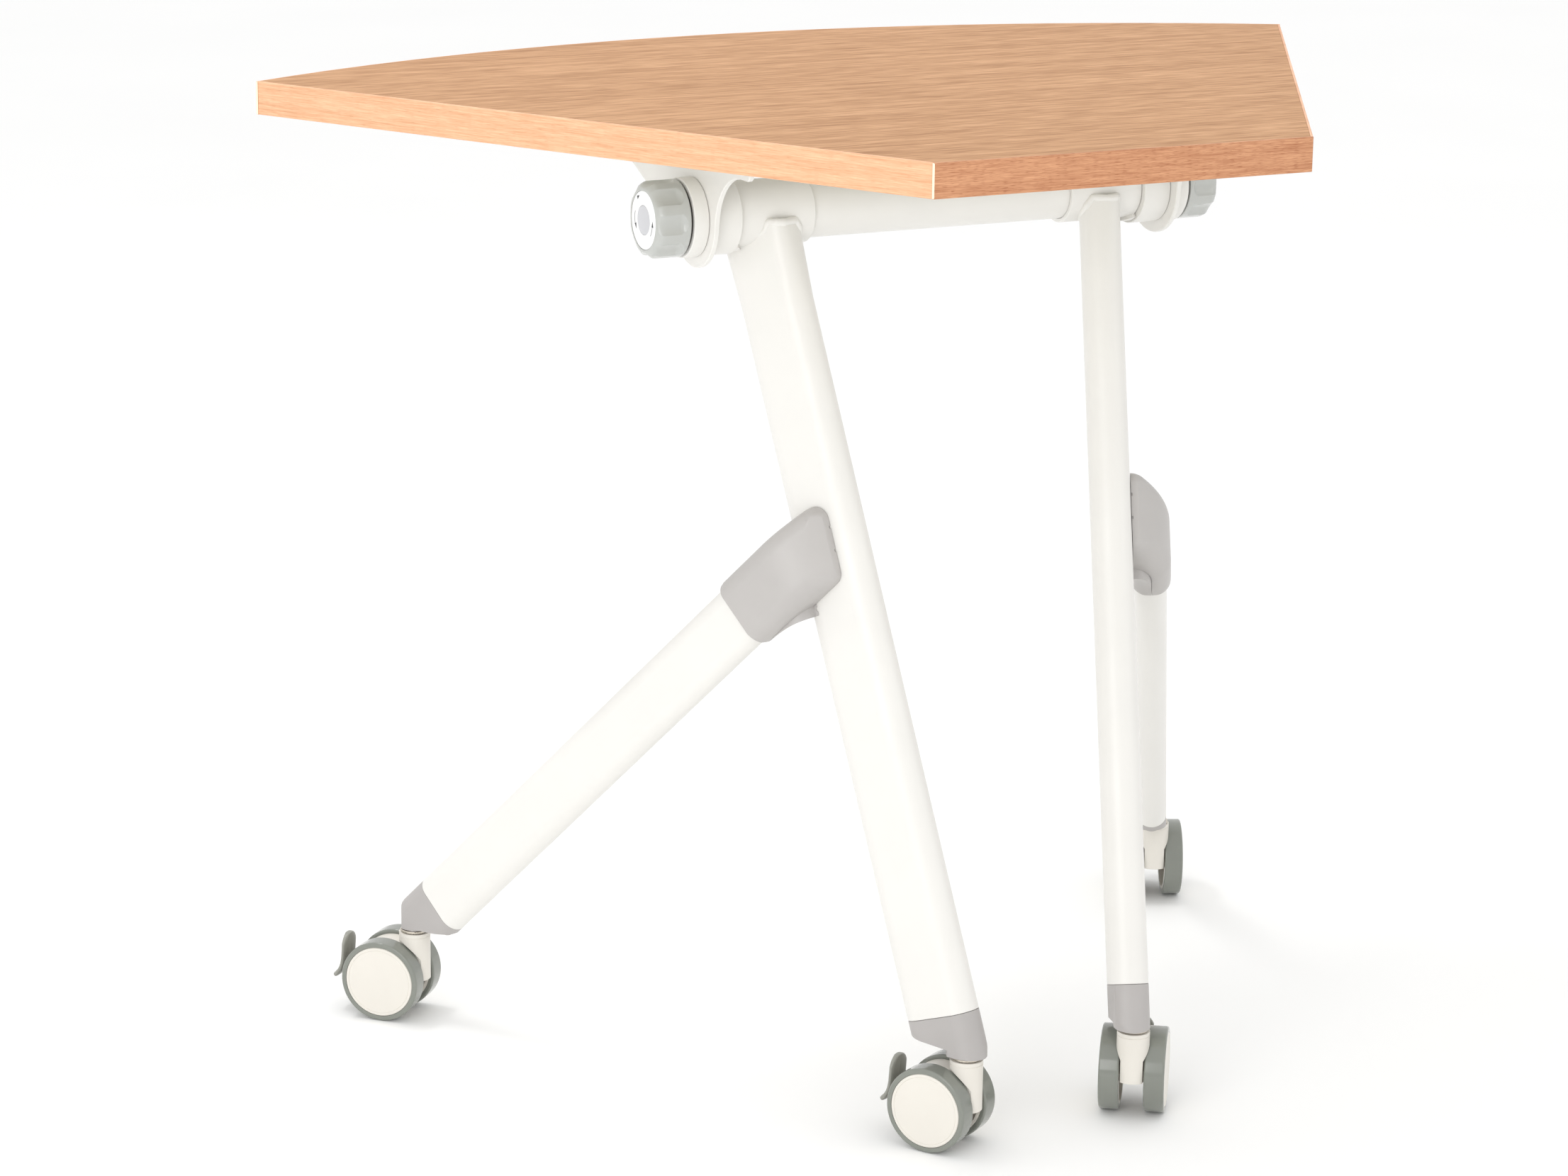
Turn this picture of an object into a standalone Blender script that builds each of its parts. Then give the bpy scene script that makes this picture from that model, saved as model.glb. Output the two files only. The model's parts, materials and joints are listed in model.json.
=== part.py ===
"""Folding corner desk: a fan-shaped top that flips on a beam, two splayed legs and four braked castors.

Metres, +Z up. The origin lies on the floor under the middle of the top, and -Y is the short front edge.
Shapes of the left half are made once; the right half uses the same meshes under a mirrored empty.
"""

import math

import bmesh
import bpy
from mathutils import Matrix, Vector

MM = 0.001

# Fits
SEAT_GAP = 0.3 * MM
RUNNING_GAP = 0.3 * MM
WHEEL_SIDE_GAP = 0.9 * MM
WHEEL_RIM_GAP = 1.2 * MM

# Table top
TOP_HEIGHT = 750 * MM
TOP_THICKNESS = 25 * MM
TOP_FRONT_WIDTH = 300 * MM
TOP_SIDE_LENGTH = 600 * MM
TOP_SIDE_ANGLE = math.radians(30)
TOP_REAR_RADIUS = 950 * MM
EDGE_BAND_THICKNESS = 2 * MM

# Beam and what sits on it, measured outwards from the middle of the desk
BEAM_SETBACK = 288 * MM
BEAM_DROP = 56.2 * MM
BEAM_RADIUS = 21.5 * MM
BEAM_WALL = 2.5 * MM
SLEEVE_CENTRE = 138.5 * MM
SLEEVE_LENGTH = 61 * MM
SLEEVE_RADIUS = 24.6 * MM
CLUTCH_LENGTH = 23 * MM
CLUTCH_RADIUS = 29 * MM
BRACKET_SHEET = 4 * MM
KNOB_COLLAR_LENGTH = 12 * MM
KNOB_COLLAR_RADIUS = 29.4 * MM
KNOB_COLLAR_GAP = 2 * MM
ROD_RADIUS = 6 * MM

# Bracket outline about the beam axis
BRACKET_HUB_RADIUS = 37.5 * MM
BRACKET_WING_DEPTH = 16 * MM
BRACKET_FRONT_REACH = 95 * MM
BRACKET_FRONT_FILLET = 44 * MM
BRACKET_TIP_ROUND = 5 * MM
BRACKET_REAR_REACH = 186 * MM
BRACKET_REAR_SLOPE = math.radians(23.25)
FLANGE_WIDTH = 30 * MM
FLANGE_INSET = 6 * MM

# Knob
KNOB_LENGTH = 26 * MM
KNOB_RADIUS = 28.5 * MM
KNOB_NOSE_ROUND = 6.5 * MM
KNOB_BACK_RIM = 3.5 * MM
KNOB_FLUTES = 8
KNOB_FLUTE_DEPTH = 2.2 * MM
KNOB_FRONT_WALL = 5 * MM
DIAL_RADIUS = 21.4 * MM
DIAL_THICKNESS = 1 * MM

# Castor stems on the floor plan, from the middle of the front edge of the top
FRONT_STEM_OUT = 71 * MM
FRONT_STEM_BACK = 70 * MM
REAR_STEM_OUT = 340.5 * MM
REAR_STEM_BACK = 494.5 * MM
STEM_SEAT_HEIGHT = 73 * MM

# Legs: the main leg lies in a leaning plane, the brace in a parallel one further out
LEG_PLAN_ANGLE = math.radians(29)
LEG_FOOT_OUT = 78.5 * MM
LEG_FOOT_BACK = 93.3 * MM
LEG_FOOT_HEIGHT = 98 * MM
LEG_TOP_OUT = 144.8 * MM
LEG_TOP_DROP = 3 * MM
MAIN_TUBE_WIDTH = 58 * MM
MAIN_TUBE_DEPTH = 31 * MM
BRACE_TUBE_WIDTH = 49.5 * MM
BRACE_TUBE_DEPTH = 25 * MM
TUBE_WALL = 2 * MM
BRACE_CLEARANCE = 1.9 * MM
BRACE_FOOT_BACK = 451.8 * MM
BRACE_FOOT_DROP = 2.9 * MM
BRACE_JOINT_UP = 355.4 * MM
BRACE_END_BACK = 32 * MM

# Joint cover, a housing on the outer face of the main leg
COVER_SKIN = 3 * MM
COVER_SIDE_SKIN = 3.4 * MM
COVER_REACH = 77 * MM
COVER_LEG_LAP = 12 * MM
COVER_LEG_EDGE = 6 * MM
COVER_DOME_RUN = 70 * MM
COVER_END_ROUND = 3 * MM
COVER_PEAK_ROUND = 11 * MM
COVER_HEEL_ROUND = 10 * MM
COVER_SHOULDER = 15 * MM

# Foot caps
FRONT_BOSS_RADIUS = 14.4 * MM
REAR_BOSS_RADIUS = 10.5 * MM
BOSS_STEP = 0.5 * MM
CAP_SOLE_HEIGHT = 2.2 * MM
CAP_SOLE_SLOPE = math.radians(6)
CAP_PLUG_LENGTH = 24 * MM
STEM_INSERT = 18 * MM

# Castors
WHEEL_RADIUS = 32.5 * MM
WHEEL_WIDTH = 15.7 * MM
TYRE_DEPTH = 4 * MM
TYRE_EDGE = 1.4 * MM
HUB_PLATE = 3.5 * MM
HUB_RIM = 2.4 * MM
HUB_BOSS_RADIUS = 6 * MM
CASTOR_TRAIL = 20.5 * MM
CASTOR_BODY_WIDTH = 16.8 * MM
CASTOR_BOSS_RADIUS = 12.4 * MM
CASTOR_BOSS_GAP = 2.8 * MM
CASTOR_BOSS_DEPTH = 25 * MM
CASTOR_SHOULDER_DROP = 9.2 * MM
CASTOR_CHIN_HEIGHT = 32 * MM
CASTOR_CHIN_AHEAD = 11 * MM
CASTOR_TURNS = {
    "front_left": math.radians(33),
    "rear_left": math.radians(45),
    "front_right": math.radians(35),
    "rear_right": math.radians(25),
}
HOOD_RADIUS = 29.5 * MM
HOOD_FLOOR_DROP = 8 * MM
HOOD_FRONT_ANGLE = math.radians(105)
AXLE_RADIUS = 3 * MM
AXLE_END_WALL = 4.5 * MM
STEM_RADIUS = 5.5 * MM
STEM_DEPTH = 17 * MM
WASHER_RADIUS = 11.2 * MM
WASHER_THICKNESS = 1.8 * MM
LEVER_PIVOT_ANGLE = math.radians(14)
LEVER_PIVOT_RADIUS = 3.6 * MM
LEVER_KNUCKLE_WIDTH = 15 * MM
LEVER_ARM_WIDTH = 13 * MM
LEVER_ARM_THICKNESS = 5 * MM
PADDLE_WIDTH = 20 * MM
PADDLE_THICKNESS = 3 * MM
PADDLE_STANDOFF = 3 * MM
PADDLE_TOP = 62.5 * MM
PADDLE_TOE_DROP = 14 * MM
PADDLE_TOE_KICK = 9 * MM

# Roundness of the meshes
ROUND_SIDES = 28
SMALL_ROUND_SIDES = 12
WHEEL_SIDES = 20
OVAL_END_STEPS = 7
ARC_STEPS = 5
REAR_ARC_STEPS = 24
KNOB_SIDES = 48

# Places worked out from the sizes above
TOP_UNDERSIDE = TOP_HEIGHT - TOP_THICKNESS
BEAM_HEIGHT = TOP_UNDERSIDE - BEAM_DROP
HALF_CHORD = TOP_FRONT_WIDTH / 2 + TOP_SIDE_LENGTH * math.sin(TOP_SIDE_ANGLE)
CHORD_BACK = TOP_SIDE_LENGTH * math.cos(TOP_SIDE_ANGLE)
REAR_CENTRE_BACK = CHORD_BACK - math.sqrt(TOP_REAR_RADIUS**2 - HALF_CHORD**2)
FRONT_Y = -(REAR_CENTRE_BACK + TOP_REAR_RADIUS) / 2
BEAM_Y = FRONT_Y + BEAM_SETBACK
SLEEVE_OUTER = SLEEVE_CENTRE + SLEEVE_LENGTH / 2
CLUTCH_OUTER = SLEEVE_OUTER + CLUTCH_LENGTH
BRACKET_OUTER = CLUTCH_OUTER + BRACKET_SHEET
KNOB_COLLAR_OUTER = BRACKET_OUTER + KNOB_COLLAR_LENGTH
KNOB_INNER = KNOB_COLLAR_OUTER + KNOB_COLLAR_GAP
KNOB_OUTER = KNOB_INNER + KNOB_LENGTH
BRACKET_TOP = BEAM_DROP - SEAT_GAP
AXLE_HEIGHT = WHEEL_RADIUS
CASTOR_BOSS_TOP = STEM_SEAT_HEIGHT - CASTOR_BOSS_GAP
WHEEL_INNER = CASTOR_BODY_WIDTH / 2 + WHEEL_SIDE_GAP
WHEEL_OUTER = WHEEL_INNER + WHEEL_WIDTH
HUB_RADIUS = WHEEL_RADIUS - TYRE_DEPTH
LEVER_PIVOT_X = CASTOR_TRAIL + HOOD_RADIUS * math.cos(LEVER_PIVOT_ANGLE)
LEVER_PIVOT_Z = AXLE_HEIGHT + HOOD_RADIUS * math.sin(LEVER_PIVOT_ANGLE)
PADDLE_X = CASTOR_TRAIL + WHEEL_RADIUS + PADDLE_STANDOFF

FRONT_SEAT = Vector((-FRONT_STEM_OUT, FRONT_Y + FRONT_STEM_BACK, STEM_SEAT_HEIGHT))
REAR_SEAT = Vector((-REAR_STEM_OUT, FRONT_Y + REAR_STEM_BACK, STEM_SEAT_HEIGHT))
LEG_FOOT = Vector((-LEG_FOOT_OUT, FRONT_Y + LEG_FOOT_BACK, LEG_FOOT_HEIGHT))
LEG_HEAD = Vector((-LEG_TOP_OUT, BEAM_Y, BEAM_HEIGHT))
BRACE_OFFSET = (MAIN_TUBE_DEPTH + BRACE_TUBE_DEPTH) / 2 + BRACE_CLEARANCE


# Mesh making


def lofted(loops, closed=False):
    """Bmesh through equal loops of points, capped at both ends or closed from the last to the first."""
    shape = bmesh.new()
    rings = [[shape.verts.new(point) for point in loop] for loop in loops]
    pairs = list(zip(rings, rings[1:]))
    if closed:
        pairs.append((rings[-1], rings[0]))
    for first, second in pairs:
        for i in range(len(first)):
            j = (i + 1) % len(first)
            shape.faces.new((first[i], first[j], second[j], second[i]))
    if not closed:
        shape.faces.new(rings[0])
        shape.faces.new(rings[-1])
    bmesh.ops.recalc_face_normals(shape, faces=shape.faces)
    return shape


def extruded(outline, axis, low, high):
    """Outline of (a, b) pairs on the other two axes in order, carried from low to high along axis."""
    loops = []
    for level in (low, high):
        loops.append([on_axis(axis, a, b, level) for a, b in outline])
    return lofted(loops)


def on_axis(axis, a, b, level):
    """Point with level along axis 0, 1 or 2 and a, b on the other two axes in order."""
    coordinates = [a, b]
    coordinates.insert(axis, level)
    return Vector(coordinates)


def circle(radius, sides, axis, level):
    """Loop round an axis through the origin, with its first point straight down or along +X."""
    start = -math.pi / 2 if axis != 2 else 0
    loop = []
    for i in range(sides):
        angle = start + math.tau * i / sides
        loop.append(on_axis(axis, radius * math.cos(angle), radius * math.sin(angle), level))
    return loop


def turned(profile, sides, axis, closed=False):
    """Solid of revolution through (radius, level) pairs; closed leaves a bore through it."""
    return lofted([circle(radius, sides, axis, level) for radius, level in profile], closed)


def cylinder(radius, low, high, sides, axis):
    return turned(((radius, low), (radius, high)), sides, axis)


def pipe(radius, bore, low, high, sides, axis):
    return turned(((radius, low), (radius, high), (bore, high), (bore, low)), sides, axis, closed=True)


def moved(shape, matrix):
    bmesh.ops.transform(shape, matrix=matrix, verts=shape.verts)
    return shape


def combined(base, *steps):
    """Mesh of the base shape after each (operation, shape) Boolean step."""
    objects = []
    for shape in (base, *[tool for _, tool in steps]):
        objects.append(bpy.data.objects.new("working_shape", mesh_of(shape)))
        bpy.context.scene.collection.objects.link(objects[-1])
    body = objects[0]
    for (operation, _), tool in zip(steps, objects[1:]):
        boolean = body.modifiers.new(operation.lower(), "BOOLEAN")
        boolean.operation = operation
        boolean.object = tool
    bpy.context.view_layer.update()
    graph = bpy.context.evaluated_depsgraph_get()
    result = bpy.data.meshes.new_from_object(body.evaluated_get(graph))
    for used in objects:
        bpy.data.objects.remove(used)
    return result


def mesh_of(shape):
    mesh = bpy.data.meshes.new("shape")
    shape.to_mesh(mesh)
    shape.free()
    return mesh


def arc(centre, radius, start, end, steps):
    """Points from one angle to another about a centre, both ends included."""
    points = []
    for i in range(steps + 1):
        angle = start + (end - start) * i / steps
        points.append((centre[0] + radius * math.cos(angle), centre[1] + radius * math.sin(angle)))
    return points


def rounded(corners, steps):
    """Outline through (point, radius) corners, each rounded by its own radius."""
    outline = []
    for i, (corner, radius) in enumerate(corners):
        to_last = (corners[i - 1][0] - corner).normalized()
        to_next = (corners[(i + 1) % len(corners)][0] - corner).normalized()
        half = to_last.angle(to_next) / 2
        middle = (to_last + to_next).normalized()
        centre = corner + middle * (radius / math.sin(half))
        start = corner + to_last * (radius / math.tan(half)) - centre
        end = corner + to_next * (radius / math.tan(half)) - centre
        turn = math.atan2(start.x * end.y - start.y * end.x, start.dot(end))
        first = math.atan2(start.y, start.x)
        outline += arc(centre, radius, first, first + turn, steps)
    return outline


def crossing(point_a, along_a, point_b, along_b):
    """Where two flat lines cross."""
    gap = point_b - point_a
    share = (gap.x * along_b.y - gap.y * along_b.x) / (along_a.x * along_b.y - along_a.y * along_b.x)
    return point_a + along_a * share


# Objects and finishes


def finish(name, colour, roughness, metallic=0.0):
    material = bpy.data.materials.new(name)
    material.use_nodes = True
    shader = material.node_tree.nodes["Principled BSDF"]
    shader.inputs["Base Color"].default_value = (*colour, 1)
    shader.inputs["Roughness"].default_value = roughness
    shader.inputs["Metallic"].default_value = metallic
    return material


def piece(name, mesh, material, parent, place=None):
    """One sub-part; place is its matrix under the parent, the identity if left out."""
    made = bpy.data.objects.new(name, mesh)
    if not mesh.materials:
        mesh.materials.append(material)
        mesh.shade_smooth()
        mesh.set_sharp_from_angle(angle=math.radians(35))
    bpy.context.scene.collection.objects.link(made)
    made.parent = parent
    made.matrix_basis = place or Matrix()
    return made


def empty(name, parent=None, place=None):
    made = bpy.data.objects.new(name, None)
    bpy.context.scene.collection.objects.link(made)
    made.parent = parent
    made.matrix_basis = place or Matrix()
    return made


# Table top


def top_outline(inset):
    """The fan, counter-clockwise from the front left corner, with every edge moved inwards by inset."""
    along = Vector((math.sin(TOP_SIDE_ANGLE), math.cos(TOP_SIDE_ANGLE)))
    inwards = Vector((-along.y, along.x))
    on_side = Vector((TOP_FRONT_WIDTH / 2, 0)) + inwards * inset
    front = crossing(on_side, along, Vector((0, inset)), Vector((1, 0)))
    from_centre = on_side - Vector((0, REAR_CENTRE_BACK))
    radius = TOP_REAR_RADIUS - inset
    half_way = from_centre.dot(along)
    reach = -half_way + math.sqrt(half_way**2 - from_centre.length_squared + radius**2)
    rear = from_centre + along * reach
    start = math.atan2(rear.y, rear.x)
    rear_arc = arc((0, REAR_CENTRE_BACK), radius, start, math.pi - start, REAR_ARC_STEPS)
    outline = [(-front.x, front.y), (front.x, front.y), *rear_arc]
    return [(x, y + FRONT_Y) for x, y in outline]


def table_top_mesh():
    outline = top_outline(EDGE_BAND_THICKNESS + SEAT_GAP)
    return mesh_of(extruded(outline, 2, TOP_UNDERSIDE, TOP_HEIGHT))


def edge_band_mesh():
    outer = top_outline(0)
    inner = top_outline(EDGE_BAND_THICKNESS)
    corners = ((outer, TOP_UNDERSIDE), (outer, TOP_HEIGHT), (inner, TOP_HEIGHT), (inner, TOP_UNDERSIDE))
    return mesh_of(lofted([[(x, y, z) for x, y in loop] for loop, z in corners], closed=True))


# Beam group, made about the beam axis with the left side at -X


def bracket_outline():
    """Side plate about the beam axis as (y, z): wings above, a round hub below."""
    wing = BRACKET_TOP - BRACKET_WING_DEPTH
    fillet_z = wing - BRACKET_FRONT_FILLET
    spread = BRACKET_HUB_RADIUS + BRACKET_FRONT_FILLET
    fillet_y = -math.sqrt(spread**2 - fillet_z**2)
    touch = math.atan2(fillet_z, fillet_y)
    slope = Vector((math.cos(BRACKET_REAR_SLOPE), math.sin(BRACKET_REAR_SLOPE)))
    rear_top = Vector((BRACKET_REAR_REACH, BRACKET_TOP))
    nearest = rear_top.dot(slope)
    run = nearest - math.sqrt(nearest**2 - rear_top.length_squared + BRACKET_HUB_RADIUS**2)
    rear_foot = rear_top - slope * run
    hub_end = math.atan2(rear_foot.y, rear_foot.x)
    tip = (-BRACKET_FRONT_REACH + BRACKET_TIP_ROUND, wing + BRACKET_TIP_ROUND)
    outline = [tuple(rear_top), (-BRACKET_FRONT_REACH, BRACKET_TOP)]
    outline += arc(tip, BRACKET_TIP_ROUND, math.pi, 1.5 * math.pi, ARC_STEPS)
    outline += arc((fillet_y, fillet_z), BRACKET_FRONT_FILLET, math.pi / 2, touch + math.pi, ARC_STEPS)
    hub_start = touch if touch > 0 else touch + math.tau
    outline += arc((0, 0), BRACKET_HUB_RADIUS, hub_start, hub_end + math.tau, 3 * ARC_STEPS)[1:]
    return outline


def bracket_mesh():
    plate = extruded(bracket_outline(), 0, -BRACKET_OUTER, -CLUTCH_OUTER)
    flange_ends = (-BRACKET_FRONT_REACH + FLANGE_INSET, BRACKET_REAR_REACH - FLANGE_INSET)
    floor = BRACKET_TOP - BRACKET_SHEET
    flange_outline = [
        (flange_ends[0], floor),
        (flange_ends[1], floor),
        (flange_ends[1], BRACKET_TOP),
        (flange_ends[0], BRACKET_TOP),
    ]
    overlap = BRACKET_SHEET / 2
    flange = extruded(flange_outline, 0, -CLUTCH_OUTER - overlap, -CLUTCH_OUTER + FLANGE_WIDTH)
    reach = BRACKET_SHEET
    bore = cylinder(
        ROD_RADIUS + RUNNING_GAP, -BRACKET_OUTER - reach, -CLUTCH_OUTER + reach, SMALL_ROUND_SIDES, 0
    )
    return combined(plate, ("UNION", flange), ("DIFFERENCE", bore))


def beam_mesh():
    end = CLUTCH_OUTER - SEAT_GAP
    return mesh_of(pipe(BEAM_RADIUS, BEAM_RADIUS - BEAM_WALL, -end, end, ROUND_SIDES, 0))


def sleeve_mesh():
    bore = BEAM_RADIUS + SEAT_GAP
    inner = SLEEVE_CENTRE - SLEEVE_LENGTH / 2
    return mesh_of(pipe(SLEEVE_RADIUS, bore, -SLEEVE_OUTER, -inner, ROUND_SIDES, 0))


def clutch_mesh():
    bore = BEAM_RADIUS + RUNNING_GAP
    low = -CLUTCH_OUTER + SEAT_GAP
    high = -SLEEVE_OUTER - SEAT_GAP
    return mesh_of(pipe(CLUTCH_RADIUS, bore, low, high, ROUND_SIDES, 0))


def knob_collar_mesh():
    bore = ROD_RADIUS + RUNNING_GAP
    high = -BRACKET_OUTER - SEAT_GAP
    return mesh_of(pipe(KNOB_COLLAR_RADIUS, bore, -KNOB_COLLAR_OUTER, high, ROUND_SIDES, 0))


def rod_mesh():
    end = KNOB_OUTER - KNOB_FRONT_WALL - SEAT_GAP
    return mesh_of(cylinder(ROD_RADIUS, -end, end, SMALL_ROUND_SIDES, 0))


def knob_loop(radius, flute, level):
    """Loop of the knob with its finger flutes sunk by a share of their full depth."""
    pitch = KNOB_SIDES // KNOB_FLUTES
    loop = []
    for i, point in enumerate(circle(1, KNOB_SIDES, 0, 0)):
        across = abs((i + pitch // 2) % pitch - pitch // 2) / (pitch / 3)
        sunk = max(0, math.cos(across * math.pi / 2)) * KNOB_FLUTE_DEPTH * flute
        loop.append((level, point.y * (radius - sunk), point.z * (radius - sunk)))
    return loop


def knob_mesh():
    """Knob about its own inner face, which looks along +X; the dial recess is at its nose."""
    nose = -KNOB_LENGTH
    shoulder = nose + KNOB_NOSE_ROUND
    recess = DIAL_RADIUS + SEAT_GAP
    floor = nose + DIAL_THICKNESS
    loops = [
        knob_loop(recess, 0, floor),
        knob_loop(recess, 0, nose),
    ]
    for i in range(1, 3):
        angle = math.pi / 2 * i / 2
        radius = KNOB_RADIUS - KNOB_NOSE_ROUND * (1 - math.sin(angle))
        loops.append(knob_loop(radius, i / 2, shoulder - KNOB_NOSE_ROUND * math.cos(angle)))
    loops += [
        knob_loop(KNOB_RADIUS, 1, -2 * KNOB_BACK_RIM),
        knob_loop(KNOB_RADIUS, 0, -KNOB_BACK_RIM),
        knob_loop(KNOB_RADIUS, 0, 0),
    ]
    bore = cylinder(ROD_RADIUS + RUNNING_GAP, nose + KNOB_FRONT_WALL, KNOB_LENGTH, SMALL_ROUND_SIDES, 0)
    return combined(lofted(loops), ("DIFFERENCE", bore))


def dial_mesh():
    nose = -KNOB_LENGTH
    return mesh_of(cylinder(DIAL_RADIUS, nose, nose + DIAL_THICKNESS - SEAT_GAP, ROUND_SIDES, 0))


# Legs, made in the leg plane from the foot of the main leg: x runs back, y up the plane, z inwards


def leg_plane():
    """Matrix from the leg plane to the desk, for the left leg."""
    along = Vector((-math.sin(LEG_PLAN_ANGLE), math.cos(LEG_PLAN_ANGLE), 0))
    inwards = along.cross(LEG_HEAD - LEG_FOOT).normalized()
    up = inwards.cross(along)
    plane = Matrix((along, up, inwards)).transposed().to_4x4()
    plane.translation = LEG_FOOT
    return plane


LEG_PLANE = leg_plane()
TO_LEG_PLANE = LEG_PLANE.inverted()
UPRIGHT = TO_LEG_PLANE.to_3x3() @ Vector((0, 0, 1))
FRONT_FOOT = Vector((0, 0, 0))
LEG_TOP = TO_LEG_PLANE @ LEG_HEAD
LEG_ALONG = LEG_TOP.normalized()
LEG_REARWARDS = Vector((LEG_ALONG.y, -LEG_ALONG.x, 0))
REAR_FOOT = Vector((BRACE_FOOT_BACK, -BRACE_FOOT_DROP, -BRACE_OFFSET))
BRACE_JOINT = LEG_ALONG * BRACE_JOINT_UP + Vector((0, 0, -BRACE_OFFSET))
BRACE_ALONG = (BRACE_JOINT - REAR_FOOT).normalized()
BRACE_UPPER_SIDE = Vector((BRACE_ALONG.y, -BRACE_ALONG.x, 0))
COVER_END = BRACE_JOINT - BRACE_ALONG * COVER_REACH


def oval_loop(width, depth, start, along, plane_point, plane_normal):
    """Flat-oval section on the line from start along a direction, where that line's plane cuts it."""
    across = Vector((along.y, -along.x, 0))
    half_flat = (width - depth) / 2
    section = arc((half_flat, 0), depth / 2, -math.pi / 2, math.pi / 2, OVAL_END_STEPS)
    section += arc((-half_flat, 0), depth / 2, math.pi / 2, 1.5 * math.pi, OVAL_END_STEPS)
    loop = []
    for a, b in section:
        base = start + across * a + Vector((0, 0, b))
        loop.append(base + along * ((plane_point - base).dot(plane_normal) / along.dot(plane_normal)))
    return loop


def oval_bar(width, depth, start, along, low, high):
    """Solid flat-oval bar between two distances along its line, cut square."""
    ends = [oval_loop(width, depth, start, along, start + along * level, along) for level in (low, high)]
    return lofted(ends)


def oval_tube(width, depth, start, along, low_plane, high_plane):
    """Open flat-oval tube between two (point, normal) planes."""
    outer = [oval_loop(width, depth, start, along, *plane) for plane in (low_plane, high_plane)]
    bore = (width - 2 * TUBE_WALL, depth - 2 * TUBE_WALL)
    inner = [oval_loop(*bore, start, along, *plane) for plane in (high_plane, low_plane)]
    return lofted(outer + inner, closed=True)


def main_leg_mesh():
    top_plane = (LEG_TOP - UPRIGHT * LEG_TOP_DROP, UPRIGHT)
    tube = oval_tube(
        MAIN_TUBE_WIDTH, MAIN_TUBE_DEPTH, FRONT_FOOT, LEG_ALONG, (FRONT_FOOT, LEG_ALONG), top_plane
    )
    reach = SLEEVE_LENGTH
    saddle = cylinder(SLEEVE_RADIUS + SEAT_GAP, -reach, reach, ROUND_SIDES, 0)
    moved(saddle, TO_LEG_PLANE @ Matrix.Translation(LEG_HEAD))
    return combined(tube, ("DIFFERENCE", saddle))


def brace_mesh():
    upper_end = BRACE_JOINT + LEG_REARWARDS * BRACE_END_BACK
    tube = oval_tube(
        BRACE_TUBE_WIDTH,
        BRACE_TUBE_DEPTH,
        REAR_FOOT,
        BRACE_ALONG,
        (REAR_FOOT, BRACE_ALONG),
        (upper_end, LEG_REARWARDS),
    )
    return mesh_of(tube)


def cover_block(inner_level):
    """Cover seen square to the leg plane, with rounded corners, from past its outer face to inner_level."""
    half_end = BRACE_TUBE_WIDTH / 2 + COVER_SIDE_SKIN
    end_low = (COVER_END - BRACE_UPPER_SIDE * half_end).to_2d()
    end_high = (COVER_END + BRACE_UPPER_SIDE * half_end).to_2d()
    lap_line = (BRACE_JOINT - LEG_REARWARDS * COVER_LEG_LAP).to_2d()
    peak = crossing(end_high, BRACE_ALONG.to_2d(), lap_line, LEG_ALONG.to_2d())
    heel = crossing(end_low, BRACE_ALONG.to_2d(), lap_line, LEG_ALONG.to_2d())
    corners = (
        (end_low, COVER_END_ROUND),
        (end_high, COVER_END_ROUND),
        (peak, COVER_PEAK_ROUND),
        (heel, COVER_HEEL_ROUND),
    )
    return extruded(rounded(corners, ARC_STEPS), 2, -BRACE_OFFSET - BRACE_TUBE_DEPTH, inner_level)


def along_line(profile, start, along, across, reach):
    """Profile of (across, outwards) pairs carried both ways from start along a line in the leg plane."""
    loops = []
    for level in (-reach, reach):
        loops.append([start + along * level + across * a - Vector((0, 0, b)) for a, b in profile])
    return lofted(loops)


def cover_dome():
    """The cover's thickness, seen along the main leg: low at the leg edge, full where the brace ends."""
    at_leg = BRACE_JOINT + Vector((0, 0, BRACE_OFFSET))
    low = MAIN_TUBE_DEPTH / 2 + COVER_LEG_EDGE
    full = BRACE_OFFSET + BRACE_TUBE_DEPTH / 2 + COVER_SKIN
    curve = []
    steps = 2 * ARC_STEPS
    for i in range(steps + 1):
        turn = math.pi / 2 * i / steps
        back = COVER_DOME_RUN * (1 - math.cos(turn)) - COVER_LEG_LAP
        curve.append((back, low + (full - low) * math.sin(turn)))
    reach = 2 * COVER_REACH
    profile = [(-reach, -full), (-reach, low), *curve, (reach, full), (reach, -full)]
    return along_line(profile, at_leg, LEG_ALONG, LEG_REARWARDS, reach)


def cover_arch():
    """The cover's section along the brace: round shoulders outside, straight sides down to the leg."""
    half = BRACE_TUBE_WIDTH / 2 + COVER_SIDE_SKIN
    full = BRACE_TUBE_DEPTH / 2 + COVER_SKIN
    shoulder = (half - COVER_SHOULDER, full - COVER_SHOULDER)
    profile = [(-half, -full)]
    profile += arc((-shoulder[0], shoulder[1]), COVER_SHOULDER, math.pi, math.pi / 2, ARC_STEPS)
    profile += arc(shoulder, COVER_SHOULDER, math.pi / 2, 0, ARC_STEPS)
    profile.append((half, -full))
    return along_line(profile, BRACE_JOINT, BRACE_ALONG, BRACE_UPPER_SIDE, 2 * COVER_REACH)


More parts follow.
